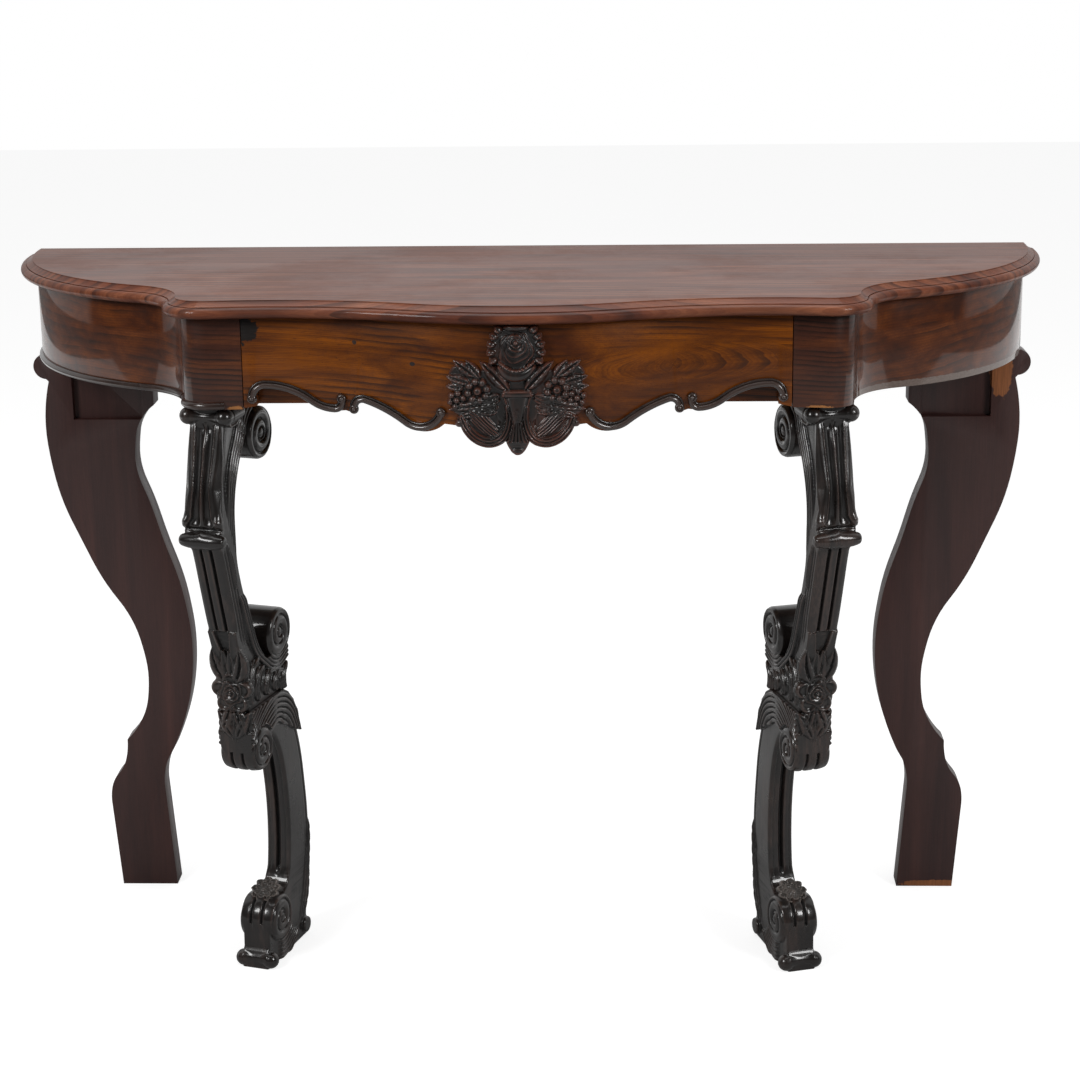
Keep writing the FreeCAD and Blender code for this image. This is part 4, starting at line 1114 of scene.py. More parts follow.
class RunMoulding(Construction):
    """Geometry Nodes tree that runs a moulding's section along a path."""

    def __init__(self) -> None:
        """Build the tree once; every moulding uses it."""
        super().__init__("run_moulding", Section="Object", Finish="Material")
        level = self.step("GeometryNodeSetCurveNormal", {"Curve": self.given["Geometry"]}, mode="Z_UP")
        section = self.step("GeometryNodeObjectInfo", {"Object": self.given["Section"]}).outputs["Geometry"]
        sweep = self.step("GeometryNodeCurveToMesh", {"Curve": level.outputs["Curve"], "Profile Curve": section,
                                                      "Fill Caps": True})
        self.close(sweep.outputs["Mesh"])

    @staticmethod
    def curve(name: str, points: np.ndarray, closed: bool) -> bpy.types.Object:
        """Poly curve through points in millimetres.

        Args:
            name: name of the curve.
            points: rows of two or three coordinates.
            closed: whether it closes on itself.

        Returns:
            The curve object.
        """
        data = bpy.data.curves.new(name, "CURVE")
        data.dimensions = "3D"
        spline = data.splines.new("POLY")
        spline.points.add(len(points) - 1)
        full = np.zeros((len(points), 4))
        full[:, : points.shape[1]] = points * MM
        full[:, 3] = 1.0
        spline.points.foreach_set("co", full.ravel())
        spline.use_cyclic_u = closed
        return new_object(name, data)

    def run(self, name: str, path: np.ndarray, section: np.ndarray, material: bpy.types.Material) -> bpy.types.Object:
        """Run a section along a path.

        Args:
            name: name of the piece.
            path: points of the path, level, in millimetres.
            section: closed section: right of the path's heading, and up.
            material: its finish.

        Returns:
            The moulding as a plain mesh.
        """
        spine = self.curve(name + "_path", path, False)
        profile = self.curve(name + "_section", section * (1.0, -1.0), True)
        self.fit(spine, Section=profile, Finish=material)
        graph = bpy.context.evaluated_depsgraph_get()
        mesh = bpy.data.meshes.new_from_object(spine.evaluated_get(graph), depsgraph=graph)
        for item in (spine, profile):
            bpy.data.objects.remove(item)
        mesh.name = name
        turn_outwards(mesh)
        piece = new_object(name, mesh)
        shade(piece, 40.0)
        return piece


# ---- top --------------------------------------------------------------------------------------


@dataclass
class TableTop:
    """Two boards glued edge to edge, with a cove and a half-round roll on the edge."""

    mouldings: RunMoulding
    height: float = 840.0
    thick: float = 19.0
    joint: float = 96.0
    reach: float = 14.4
    roll: float = 6.2
    step_down: float = 1.2
    margin: float = 4.0
    boards: tuple = (
        # The boards' milky tint is worn polish with a painted sheen.
        ("rear_board", True, Rosewood(
            "rosewood_rear_board", (0.062, 0.016, 0.008), (0.125, 0.034, 0.015), (0.175, 0.058, 0.028),
            (0.030, 0.010, 0.007), across=1, spacing=15.0, slope=0.03, drift=20.0, vein_strength=0.75, gloss=0.5,
            coat=0.25, haze_and_sheen=0.20, shift=(0.4, 0.2, 0.0))),
        ("front_board", False, Rosewood(
            "rosewood_front_board", (0.066, 0.017, 0.009), (0.146, 0.040, 0.017), (0.250, 0.090, 0.045),
            (0.030, 0.010, 0.007), across=1, spacing=12.0, slope=-0.02, drift=20.0, vein_strength=0.80, gloss=0.45,
            coat=0.25, haze_and_sheen=0.16)),
    )

    def section(self) -> np.ndarray:
        """Section of the worked edge.

        Returns:
            Points outwards and up from the underside.
        """
        neck = self.reach - self.roll
        angle = np.linspace(-90, 90, 15)
        roll = np.column_stack([neck + self.roll * np.cos(np.radians(angle)),
                                self.roll + self.roll * np.sin(np.radians(angle))])
        share = np.linspace(0, 1, 7)
        top, quirk = self.thick - self.step_down, 2 * self.roll + 0.5
        cove = np.column_stack([(neck - 0.9) * (1 - share), quirk + (top - quirk) * share ** 1.35])
        rim = np.array([(0.0, self.thick - 0.4), (-0.4, self.thick), (-self.margin, self.thick), (-self.margin, 0.0)])
        return np.vstack([roll, [[neck - 1.7, 2 * self.roll - 0.9]], cove, rim])

    def build(self) -> None:
        """Make both boards."""
        level = self.height - self.thick
        spine = at_level(PLAN.whole(0.0), level)
        for name, rear, finish in self.boards:
            material = finish.material()
            edge = self.mouldings.run(name + "_edge", spine, self.section(), material)
            board = joined(name, self.slab(name + "_flat", material, level), edge)
            self.saw(board, rear)
            shade(board, 40.0)
            put(board, Body.TABLE, "top_rosewood", "top_" + name)

    def slab(self, name: str, material: bpy.types.Material, level: float) -> bpy.types.Object:
        """The flat of the top inside its worked edge.

        Args:
            name: name of the piece.
            material: its finish.
            level: height of its underside.

        Returns:
            The flat.
        """
        ring = PLAN.whole(self.margin)
        count = len(ring)
        points = np.vstack([at_level(ring, level), at_level(ring, level + self.thick)])
        faces = [list(range(count))[::-1], list(range(count, 2 * count))]
        faces += [[i, (i + 1) % count, count + (i + 1) % count, count + i] for i in range(count)]
        return new_piece(name, points, faces, material)

    def saw(self, board: bpy.types.Object, rear: bool) -> None:
        """Cut the top at the glue joint and keep one part of it.

        Args:
            board: the whole top, changed in place.
            rear: whether the rear part is kept.
        """
        work = bmesh.new()
        work.from_mesh(board.data)
        geometry = work.verts[:] + work.edges[:] + work.faces[:]
        bmesh.ops.bisect_plane(work, geom=geometry, plane_co=(0, self.joint * MM, 0), plane_no=(0, 1, 0),
                               clear_inner=rear, clear_outer=not rear, dist=1e-7)
        bmesh.ops.holes_fill(work, edges=[edge for edge in work.edges if edge.is_boundary])
        bmesh.ops.recalc_face_normals(work, faces=work.faces)
        work.to_mesh(board.data)
        work.free()


# ---- apron --------------------------------------------------------------------------------------


@dataclass
class Apron:
    """Side aprons, corner stiles and beads."""

    mouldings: RunMoulding
    bottom: float = 716.0
    bead_rise: float = 8.5
    bead_proud: float = 3.8
    stile_back: float = -111.0
    bead_end: float = -324.0
    wall: float = 222.0
    raw: Colour = (0.36, 0.145, 0.040)
    scar: Colour = (0.17, 0.125, 0.105)

    def build(self) -> None:
        """Make the visible pieces of the apron."""
        marks = {
            "left": ((), (((-312.0, -190.0, 717.5), (13.0, 40.0, 4.5), self.raw, 0.20),)),
            "right": ((((470.0, 20.0, 719.0), (190.0, 260.0, 5.0), self.scar, 0.16),),
                      (((335.0, -190.0, 716.5), (18.0, 40.0, 2.6), self.raw, 0.35),)),
        }
        for side, hand in (("left", -1), ("right", 1)):
            wing = Rosewood("rosewood_wing_" + side, (0.038, 0.010, 0.004), (0.085, 0.020, 0.004),
                            (0.150, 0.038, 0.006), spacing=11.0, slope=-0.04 * hand, vein_strength=0.6,
                            shift=(hand * 1.7, 0.9, 0.3), patches=marks[side][0], coat=0.62)
            post = Rosewood("rosewood_stile_" + side, (0.026, 0.009, 0.006), (0.055, 0.017, 0.009),
                            (0.120, 0.034, 0.010), spacing=5.5, drift=8.0, vein_strength=0.9,
                            shift=(hand * 2.3, 0.4, 1.1), patches=marks[side][1], coat=0.55)
            put(eased_copy("side_apron_" + side, "wing_" + side, wing.material(), 0.5), Body.TABLE,
                "rosewood_veneer", "side_apron_" + side)
            put(eased_copy("stile_" + side, "corner_stile_" + side, post.material(), 0.5), Body.TABLE,
                "rosewood_veneer", "stile_" + side)
        self.beads()

    def beads(self) -> None:
        """The bead that is left on the left-hand side."""
        material = Ebonised("bead_dark_polish", black=(0.016, 0.008, 0.006)).material()
        angle = np.linspace(-90, 90, 13)
        dome = np.column_stack([self.bead_proud * np.cos(np.radians(angle)),
                                self.bead_rise / 2 * (1 + np.sin(np.radians(angle)))])
        section = np.vstack([dome, [[-0.3, self.bead_rise], [-0.3, 0.0]]])
        path = PLAN.whole(PLAN.apron_inset, 3.0)
        left = path[path[:, 0] <= self.bead_end]
        corner = left[left[:, 1] <= self.stile_back]
        side = left[(left[:, 1] >= self.stile_back) & (left[:, 1] <= self.wall)]
        side = np.vstack([[side[0, 0], self.wall], side[1:]])
        for name, run, node in (("side_bead", side, "side_bead_left"), ("corner_bead", corner, "stile_bead_left")):
            bead = self.mouldings.run(name, at_level(run, self.bottom), section, material)
            mark_crests(bead, np.full(len(bead.data.vertices), 0.55))
            put(bead, Body.TABLE, "carved_dark_wood", node)


# ---- drawer -------------------------------------------------------------------------------------


@dataclass
class ScrollMouldings:
    """Four mouldings that follow the sawn lower edge of the drawer front."""

    mouldings: RunMoulding
    outer: tuple = ((295.4, 728.4), 84.0, ((14.6, 180.0), (87.9, 216.9), (43.5, 180.6), (8.2, 70.0)))
    inner: tuple = ((180.7, 718.3), 79.0, ((10.0, 197.0), (160.7, 215.3), (26.5, 110.0)))
    eye_profile: tuple = ((5.6, 0.0), (5.6, 2.4), (5.1, 4.2), (4.1, 5.4), (3.3, 5.5), (2.9, 4.7), (2.5, 5.6),
                          (1.6, 6.6), (0.7, 7.0))
    eye_top: float = 7.1

    def section(self) -> np.ndarray:
        """Roll, groove and small bead.

        Returns:
            Points across the moulding and out from the face, one a row.
        """
        angle = np.radians(np.linspace(180, 0, 15))
        roll = np.column_stack([-1.1 + 3.7 * np.cos(angle), 6.0 * np.sin(angle) ** 0.8])
        angle = np.radians(np.linspace(165, 0, 9))
        bead = np.column_stack([3.45 + 1.15 * np.cos(angle), 2.2 + 1.5 * np.sin(angle)])
        return np.vstack([roll[:-1], [[2.5, 1.6]], bead[1:], [[4.6, 0.0]]])

    def build(self) -> None:
        """Make the outer and inner mouldings of both sides."""
        material = Ebonised("scroll_dark_polish", coat=0.9).material()
        for kind, (start, heading, turns) in (("outer", self.outer), ("inner", self.inner)):
            line = np.vstack([[start], tangent_arcs(start, heading, turns, 1.4)])
            flat = self.mouldings.run(kind + "_run", at_level(line, 0.0), self.section(), material)
            points = np.array([vertex.co for vertex in flat.data.vertices]) / MM
            faces = [list(polygon.vertices) for polygon in flat.data.polygons]
            bpy.data.objects.remove(flat)
            for end in (line[0], line[-1]):
                ball_points, ball_faces = self.eye(end)
                faces += [[index + len(points) for index in row] for row in ball_faces]
                points = np.vstack([points, ball_points])
            for side, hand in (("right", 1), ("left", -1)):
                placed = np.column_stack([hand * points[:, 0], PLAN.face(points[:, 0]) - points[:, 2], points[:, 1]])
                rows = faces if hand < 0 else [row[::-1] for row in faces]
                piece = new_piece("%s_scroll_moulding_%s" % (kind, side), placed, rows, material, 50.0)
                turn_outwards(piece.data)
                # The further a point stands out from the face, the lighter: a painted highlight on the roll, painted
                # shade where it meets the face.
                mark_crests(piece, np.clip(0.25 + points[:, 2] / 11.0, 0, 1))
                put(piece, Body.DRAWER, "carved_dark_wood", "%s_scroll_%s" % (kind, side))

    def eye(self, centre: np.ndarray) -> tuple[np.ndarray, list]:
        """The turned eye that ends a moulding.

        Args:
            centre: its middle, across and up.

        Returns:
            Points (across, up, out from the face) and faces.
        """
        count = 28
        angle = np.linspace(0, 2 * math.pi, count, endpoint=False)
        rows = [np.column_stack([centre[0] + radius * np.cos(angle), centre[1] + radius * np.sin(angle),
                                 np.full(count, out)]) for radius, out in self.eye_profile]
        points = np.vstack(rows + [[[*centre, self.eye_top]], [[*centre, 0.0]]])
        last, top, low = (len(self.eye_profile) - 1) * count, len(points) - 2, len(points) - 1
        faces = ring_faces(len(self.eye_profile), count)
        for index in range(count):
            after = (index + 1) % count
            faces += [[last + index, last + after, top], [after, index, low]]
        return points, faces


@dataclass
class FloralCarving:
    """Rose over a vase of leaves, with a flower at each side, applied to the drawer front."""

    step: float = 0.72
    low: Point = (-82.0, 674.0)
    high: Point = (88.0, 822.0)
    ground: tuple = ((2, 789, 28), (2, 745, 30), (2, 705, 21), (-38, 748, 22), (45, 748, 22.5), (-60, 762, 13),
                     (64, 762, 13.5), (-58, 730, 14), (62, 730, 14.5), (-34, 712, 18), (39, 712, 18.5),
                     (-52, 714, 10), (57, 714, 10), (-27, 699, 14), (32, 699, 14), (2, 728, 26), (2, 764, 24))

    def build(self) -> None:
        """Carve it and set it on the bowed front."""
        x = np.arange(self.low[0], self.high[0], self.step)
        z = np.arange(self.low[1], self.high[1], self.step)
        out = np.arange(-1.5, 18.0, self.step)
        u, v = np.meshgrid(x, z, indexing="ij")
        height = self.relief(u, v)
        field_values = np.maximum(out[None, None, :] - height[:, :, None], -out[None, None, :] + 0.05)
        points, faces, crest = carved_mesh(field_values, (x[0], z[0], out[0]), self.step)
        placed = np.column_stack([points[:, 0], PLAN.face(points[:, 0]) - points[:, 2], points[:, 1]])
        # Red-brown crests: worn polish with a painted highlight; darker hollows: painted shade.
        material = Ebonised("carving_dark_polish", rubbed_and_highlight=(0.095, 0.032, 0.020)).material()
        put(carved_piece("floral_spray", placed, faces, crest, material), Body.DRAWER, "carved_dark_wood",
            "floral_carving")

    def relief(self, u: np.ndarray, v: np.ndarray) -> np.ndarray:
        """Height of the carving over the drawer front, below zero outside it.

        Args:
            u: distance across from the middle of the table.
            v: height over the floor.

        Returns:
            The height over the face.
        """
        spray = Relief(u, v, -3.0)
        for centre_u, centre_v, radius in self.ground:
            reach = np.hypot(u - centre_u, v - centre_v) - radius
            spray.lay(3.0 - 2.6 * rise(reach, -3.0, 0.0), reach < 0)
        self.foliage(spray)
        self.flowers(spray)
        self.vase(spray)
        self.rose(spray, (2.0, 791.0))
        return spray.height

    @staticmethod
    def foliage(spray: Relief) -> None:
        """Leaves behind the flowers and the two full leaves that sweep round under the vase.

        Args:
            spray: relief that they are laid on.
        """
        for hand, off in ((-1, 0.0), (1, 5.0)):
            def side(*places: Point) -> list[Point]:
                """Places on this side of the spray."""
                return [(hand * across + off * (hand > 0), up) for across, up in places]

            for root, bend, tip, width, top in (
                    ((16, 736), (42, 730), (73, 724), 6.4, 7.4), ((18, 728), (40, 722), (64, 715), 6.2, 7.2),
                    ((16, 741), (26, 738), (40, 731), 5.0, 7.0), ((20, 722), (32, 722), (48, 726), 4.6, 7.8)):
                spray.leaf(*side(root, bend, tip), width, 3.0, top, 9)
            spray.frond(side((49, 722), (41, 716), (31, 706), (20, 697)), 10.0, 3.0, 7.8, 3.0, 2.4, 0.25)
            spray.frond(side((59, 716), (53, 703), (43, 693), (30, 688.5), (17, 692), (10, 702), (7, 716), (8, 728)),
                        6.2, 3.2, 8.6, 3.4, 2.8, 0.45)
            spray.berry(side((61.5, 709.5))[0], 5.2, 0.4, 7.6)
            for root, bend, tip, width, top in (
                    ((44, 762), (54, 771), (67, 779), 6.4, 8.2), ((50, 755), (62, 758), (75, 761), 6.0, 7.6),
                    ((38, 760), (46, 772), (53, 780), 5.4, 7.4), ((56, 748), (66, 750), (76, 750), 5.0, 6.4),
                    ((7, 747), (20, 764), (38, 779), 8.4, 10.0)):
                spray.leaf(*side(root, bend, tip), width, 3.0, top, 5)

    @staticmethod
    def flowers(spray: Relief) -> None:
        """The flower of round petals at each side, with a smaller one beside it.

        Args:
            spray: relief that they are laid on.
        """
        for centre, small in (((-40.7, 745.8), (-64.0, 735.0)), ((46.2, 746.8), (68.0, 737.0))):
            spray.berry(centre, 13.5, 3.0, 3.9)
            for middle, count, reach, radius, crown in ((centre, 8, 10.6, 4.7, 9.4), (small, 6, 7.4, 3.9, 8.0)):
                for index in range(count):
                    angle = 2 * math.pi * (index + 0.3) / count
                    spray.berry((middle[0] + reach * math.cos(angle), middle[1] + reach * math.sin(angle)), radius,
                                3.0, crown)
            spray.berry(centre, 4.9, 4.0, 10.6, True)
            spray.berry(small, 3.9, 4.0, 9.4)

    @staticmethod
    def vase(spray: Relief) -> None:
        """The vase with its bright lip, the stem that splays under it, and the drop below.

        Args:
            spray: relief that they are laid on.
        """
        u, v = spray.u - 2.8, spray.v
        across = np.abs(u)
        half = np.interp(v, [712, 722, 740], [5.5, 10.0, 15.4])
        share = across / half
        bowl = 8.4 - 3.2 * share ** 4 - 1.5 * rise(share, 0.55, 0.75) + 2.4 * rise(share, 0.80, 0.92)
        spray.lay(bowl, (share < 1) & (v > 712) & (v < 741))
        splay = np.interp(v, [688, 693, 704, 716, 724], [13.0, 10.0, 7.0, 5.2, 4.4])
        share = across / splay
        fold = 1.0 - np.abs(2.0 * (share * 2.5 - np.floor(share * 2.5)) - 1.0) ** 3
        spray.lay(6.4 + 2.6 * fold - 1.2 * share, (share < 1) & (v > 688) & (v < 726))
        width = 12.5 * np.clip((v - 674.8) / 13.0, 0.0, 1.0) ** 0.42
        drop = 3.2 + 5.2 * dome(across / np.maximum(width, 0.1))
        drop -= 1.5 * ridge(v - 683.0 + 0.02 * u ** 2, 0.9)
        spray.lay(drop, (across < width) & (v < 689.5))
        slant = 17.4 - 0.35 * (v - 740.0)
        lip = 11.6 - 1.6 * np.abs((v - 743.6) / 3.4) ** 3 - 0.006 * u ** 2
        spray.lay(lip, (across < slant) & (v > 740.2) & (v < 747.0))

    @staticmethod
    def rose(spray: Relief, centre: Point) -> None:
        """The full rose: bud, nested petals, the frilled ring of lobes and the turned-down petal below.

        Args:
            spray: relief that it is laid on.
            centre: its middle.
        """
        u, v = spray.u - centre[0], spray.v - centre[1]
        wide = np.hypot(u / 31.0, v / 28.2)
        spray.lay(5.2 - 3.6 * rise(wide, 0.86, 1.0), wide < 1.0)
        for hand in (-1, 1):
            for across, up, lean in ((20.6, 23.0, 40), (25.2, 15.6, 22), (28.0, 6.8, 8), (28.8, -2.4, -6),
                                     (26.2, -11.4, -22)):
                place = (centre[0] + hand * (across - 1.6), centre[1] + up)
                spray.bead(place, 5.6, 4.5, hand * lean, 3.6, 9.8)
                spray.bead((place[0] + hand * 1.4, place[1] - 1.2), 4.0, 2.2, hand * lean, 6.0, 11.4)
        spray.bead((centre[0], centre[1] + 25.0), 14.5, 4.2, 0.0, 3.4, 10.4)
        spray.bead((centre[0], centre[1] + 26.2), 11.0, 2.0, 0.0, 6.0, 11.4)
        bud_u, bud_v = u, v - 9.5
        for rim, top, lobes, turn, drop in ((20.0, 8.6, 5, 0.5, 9.5), (16.0, 10.0, 4, 1.6, 7.0),
                                            (12.6, 11.2, 3, 0.1, 4.2), (9.2, 12.4, 3, 2.3, 1.6),
                                            (6.0, 13.4, 2, 0.9, 0.2)):
            angle = np.arctan2(bud_v + drop, bud_u)
            edge = rim * (1.0 + 0.07 * np.cos(lobes * angle + turn)) * (1.0 - 0.04 * np.cos(2 * angle))
            reach = np.hypot(bud_u, bud_v + drop) / edge
            cup = top - 4.2 * np.clip(1.0 - reach, 0, 1) ** 0.7 - 3.0 * rise(reach, 0.94, 1.0)
            spray.height = np.where(reach < 1.0, np.maximum(cup, 4.6), spray.height)
        spray.berry((centre[0], centre[1] + 9.6), 3.4, 10.0, 15.0)
        lip = [(centre[0] + across, centre[1] - down)
               for across, down in ((-18, 18), (-9, 25.5), (0.5, 27.5), (10, 25.5), (19, 18))]
        spray.frond(lip, 7.0, 4.6, 12.4, 14.0, 0.0, 0.35)
        spray.frond([(across, up + 5.6) for across, up in lip], 2.2, 7.0, 13.0, 9.0, 0.0, 0.6)
        for index in range(9):
            across = centre[0] - 13.5 + 3.45 * index
            spray.berry((across, centre[1] - 21.8 + 0.030 * (across - centre[0]) ** 2), 2.1, 9.0, 14.0)


@dataclass
class Drawer:
    """The concealed drawer: its front, mouldings and carving."""

    mouldings: RunMoulding

    def build(self) -> None:
        """Make the drawer's pieces."""
        marks = (((-300.0, -180.0, 806.0), (15.0, 60.0, 15.5), (0.014, 0.011, 0.010), 0.34),
                 ((-113.0, -200.0, 772.0), (3.2, 40.0, 2.4), (0.030, 0.022, 0.020), 0.1),
                 ((-178.0, -190.0, 793.0), (3.0, 40.0, 3.0), (0.045, 0.028, 0.022), 0.1))
        veneer = Rosewood("rosewood_drawer_front", (0.050, 0.012, 0.003), (0.130, 0.033, 0.002),
                          (0.245, 0.064, 0.001), spacing=7.5, slope=0.06, shift=(0.2, 0.0, 0.5), coat=0.34,
                          vein_strength=0.72, arches=((112.0, 764.0, 20.0, -62.0), (232.0, 768.0, 24.0, 60.0)),
                          patches=marks)
        put(eased_copy("drawer_front", "drawer_front_board", veneer.material(), 0.5), Body.DRAWER,
            "rosewood_veneer", "drawer_front")
        ScrollMouldings(self.mouldings).build()
        FloralCarving().build()


# ---- front legs -----------------------------------------------------------------------------------


@dataclass
class FrontLegs:
    """Carved front legs, drawn in their own plane: across, back from the toe, and up."""

    toe: Point = (333.0, -87.0)
    splay: float = 17.0
    joint: float = 342.0
    step: float = 0.86
    spiral_depth: float = 3.6
    shell_step: float = 0.7
    shell_lean: float = 58.0
    knee_front: tuple = ((-62, 700), (-72, 660), (-82, 622), (-84, 590), (-80, 560), (-72, 533), (-59, 487),
                         (-45, 440), (-33, 405), (-27, 375), (-26, 342), (-26, 320))
    knee_back: tuple = ((-2, 672), (-8, 662), (-22, 640), (-34, 610), (-39, 575), (-37, 535), (-28, 500),
                        (-16, 470), (-6, 440), (6, 414), (26, 394))
    shin_front: tuple = ((26, 300), (48, 285), (64, 255), (73, 215), (77, 170), (75, 125), (68, 92), (52, 78))
    shin_back: tuple = ((60, 342), (88, 324), (108, 284), (121, 245), (128, 205), (133, 160), (132, 115),
                        (124, 70), (116, 34))

    def build(self) -> None:
        """Carve the scrolls of one leg and set them, mirrored, at both sides."""
        # Legs: lighter crests are worn polish with a painted highlight; darker hollows are painted shade.
        dark = Ebonised("leg_dark_polish").material()
        # Rosette: grey crests are worn polish with a painted highlight; the paler hollows are dust.
        dusty = Ebonised("rosette_dusty_polish", (0.022, 0.019, 0.017), (0.13, 0.105, 0.092), (0.06, 0.052, 0.046),
                         0.45, 0.5).material()
        for name, carve, nodes in (("upper_scroll", self.upper, "leg_upper_scroll_"),
                                   ("lower_scroll", self.lower, "leg_lower_scroll_"),
                                   ("foot_rosette", self.rosette, "foot_rosette_")):
            points, faces, crest = carve()
            for side, hand in (("right", 1), ("left", -1)):
                rows = faces if hand > 0 else faces[:, ::-1]
                piece = carved_piece("%s_%s_carved" % (name, side), self.placed(points, hand), rows, crest,
                                     dusty if name == "foot_rosette" else dark)
                put(piece, Body.TABLE, "carved_dark_wood", nodes + side)

    def placed(self, points: np.ndarray, hand: int) -> np.ndarray:
        """Leg points in the table's frame.

        Args:
            points: points in the leg's frame, one a row.
            hand: 1 for the right leg, -1 for the left.

        Returns:
            The points, one a row.
        """
        turn = math.radians(self.splay)
        x = self.toe[0] + points[:, 0] * math.cos(turn) - points[:, 1] * math.sin(turn)
        y = self.toe[1] + points[:, 0] * math.sin(turn) + points[:, 1] * math.cos(turn)
        return np.column_stack([hand * x, y, points[:, 2]])

    def grid(self, *spans: Point) -> tuple[np.ndarray, ...]:
        """Grid that a part of the leg is carved from.

        Args:
            spans: first and last value across, back and up.

        Returns:
            The coordinates across, back and up, ready to broadcast, and those of the leg's plane, back and up.
        """
        t, s, z = np.meshgrid(*(np.arange(*span, self.step) for span in spans), indexing="ij", sparse=True)
        return t, s, z, *np.broadcast_arrays(s[0], z[0])

    def front_relief(self, t: np.ndarray, z: np.ndarray) -> np.ndarray:
        """Carving on the front of the leg, as height over its front edge.

        Args:
            t: distance across.
            z: height over the floor.

        Returns:
            The relief, positive towards the front.
        """
        side = np.abs(t)
        knee = rise(z, 578.0, 592.0) * rise(z, 700.0, 690.0)
        spread = np.interp(z, [580, 592, 625, 660, 700], [1.75, 1.15, 0.86, 1.0, 1.12])
        fold = side / spread
        channel = np.clip(1.0 - ((fold - 6.2) / 4.6) ** 2, 0.0, 1.0) ** 0.7
        outer = np.clip((fold - 11.6) / 10.0, 0.0, 1.3)
        leaf_folds = (0.9 * ridge(fold, 1.3) - 4.6 * channel + 1.5 * ridge(fold - 11.4, 1.0)
                      + 1.4 * np.sin(math.pi * np.clip(outer, 0, 1)) - 3.6 * outer ** 2)
        notch = rise(z, 668.0, 690.0) * ridge(side, np.maximum(0.3, (z - 664.0) * 0.16), 4)
        height = knee * (leaf_folds - 2.6 * notch)
        curl = ridge(z - 587.0, 7.0) * ridge(side - 19.5, 4.5)
        height += 4.4 * curl - 3.4 * ridge(z - 578.5, 2.2) * (side < 26)
        shaft = rise(z, 556.0, 550.0) * rise(z, 446.0, 450.0)
        reeding = (-5.0 * ridge(side - 6.2, 1.5, 4) + 0.8 * dome(side / 5.0)
                   - 0.06 * np.clip(side - 12.0, 0, None) ** 2)
        height += shaft * reeding
        lapel = rise(z, 447.2, 446.0) * rise(z, 388.0, 396.0)
        opening = np.interp(z, [396, 446], [0.6, 8.5])
        height += lapel * (2.2 - 4.6 * rise(side, opening + 1.2, opening - 0.6)
                           + 1.4 * ridge(side - opening - 2.0, 1.2))
        return np.where((z < 346) & (z > 316) & (side > 4.6), height - 2.4, height)

    @staticmethod
    def bloom(t: np.ndarray, z: np.ndarray) -> np.ndarray:
        """Rose, leaves and stem that stand on the front of the middle block.

        Args:
            t: distance across.
            z: height over the floor.

        Returns:
            Their height over the front edge, far below it where there are none.
        """
        spray = Relief(t, z, FAR_BELOW)
        for hand in (-1, 1):
            for root, bend, tip, width, top in (
                    ((5, 378), (19, 398), (17, 424), 9.6, 7.2), ((1, 382), (6, 402), (3, 422), 7.4, 5.8),
                    ((2, 308), (10, 326), (21, 343), 7.4, 5.2), ((2, 350), (8, 334), (15, 314), 7.4, 6.0)):
                spray.leaf((hand * root[0], root[1]), (hand * bend[0], bend[1]), (hand * tip[0], tip[1]),
                           width, 0.0, top, 4)
        spray.petals((0, 366), 14.5, 11.0, 5, 0.5, 6.8, 90.0)
        for rim, crown, lobes, turn in ((15.5, 7.2, 5, 0.6), (10.6, 9.2, 3, 2.0), (6.2, 10.8, 2, 0.4)):
            angle = np.arctan2(z - 366.0, t)
            reach = np.hypot(t, z - 366.0) / (rim * (1.0 + 0.10 * np.cos(lobes * angle + turn)))
            cup = crown - 5.4 * np.clip(1.0 - reach, 0, 1) ** 0.8 - 2.8 * rise(reach, 0.92, 1.0)
            spray.height = np.where(reach < 1.0, cup, spray.height)
        spray.berry((0, 366), 2.8, 5.0, 10.4)
        stem = (np.abs(t) < 4.6) & (z > 304) & (z < 350)
        return np.where(stem, np.maximum(spray.height, 2.2 + 1.0 * np.cos(t * 2.1)), spray.height)

    def applied(self, t: np.ndarray, s: np.ndarray, z: np.ndarray) -> np.ndarray:
        """Field of the rose and its leaves, on the front edge of the middle block.

        Args:
            t: coordinates across.
            s: coordinates from front to back.
            z: heights.

        Returns:
            The distance field.
        """
        edge = np.interp(z, [300, 312, 320, 342, 375, 405, 440], [-22.3, -24.0, -26.0, -26.0, -27.0, -33.0, -45.0])
        height = self.bloom(*np.broadcast_arrays(t[:, 0], z[:, 0]))[:, None, :]
        return np.maximum(edge - height - s, s - edge - 4.0)

    @staticmethod
    def barrel_relief(t: np.ndarray) -> np.ndarray:
        """Three reeds round a volute, and its eased rims.

        Args:
            t: coordinates across.

        Returns:
            How far the round side stands out, less where it is cut.
        """
        side = np.abs(t)
        return (-4.6 * ridge(side - 7.0, 1.5) - 2.4 * rise(side, 20.0, 24.5)
                - 0.012 * np.clip(side - 8.0, 0, None) ** 2)

    def volute(self, plane: tuple, centre: Point, radius: float, hand: int, start: float, reeded: bool,
               half: float) -> np.ndarray:
        """Field of one volute: a barrel with a spiral sunk in both ends.

        Args:
            plane: coordinates across, and those of the leg's plane.
            centre: its middle in the leg's plane.
            radius: its radius.
            hand: winding of its spiral.
            start: angle where the spiral leaves the rim.
            reeded: whether its round side has reeds.
            half: half its width.

        Returns:
            The distance field.
        """
        t, flat_s, flat_z = plane
        sunk = spiral(flat_s, flat_z, centre, radius, hand, start) * self.spiral_depth
        reach = np.hypot(flat_s - centre[0], flat_z - centre[1]) - radius
        edge = self.barrel_relief(t) if reeded else -1.6 * rise(np.abs(t), 20.0, 24.5)
        return common(reach[None] - edge, np.abs(t) - half + sunk[None], 1.6)

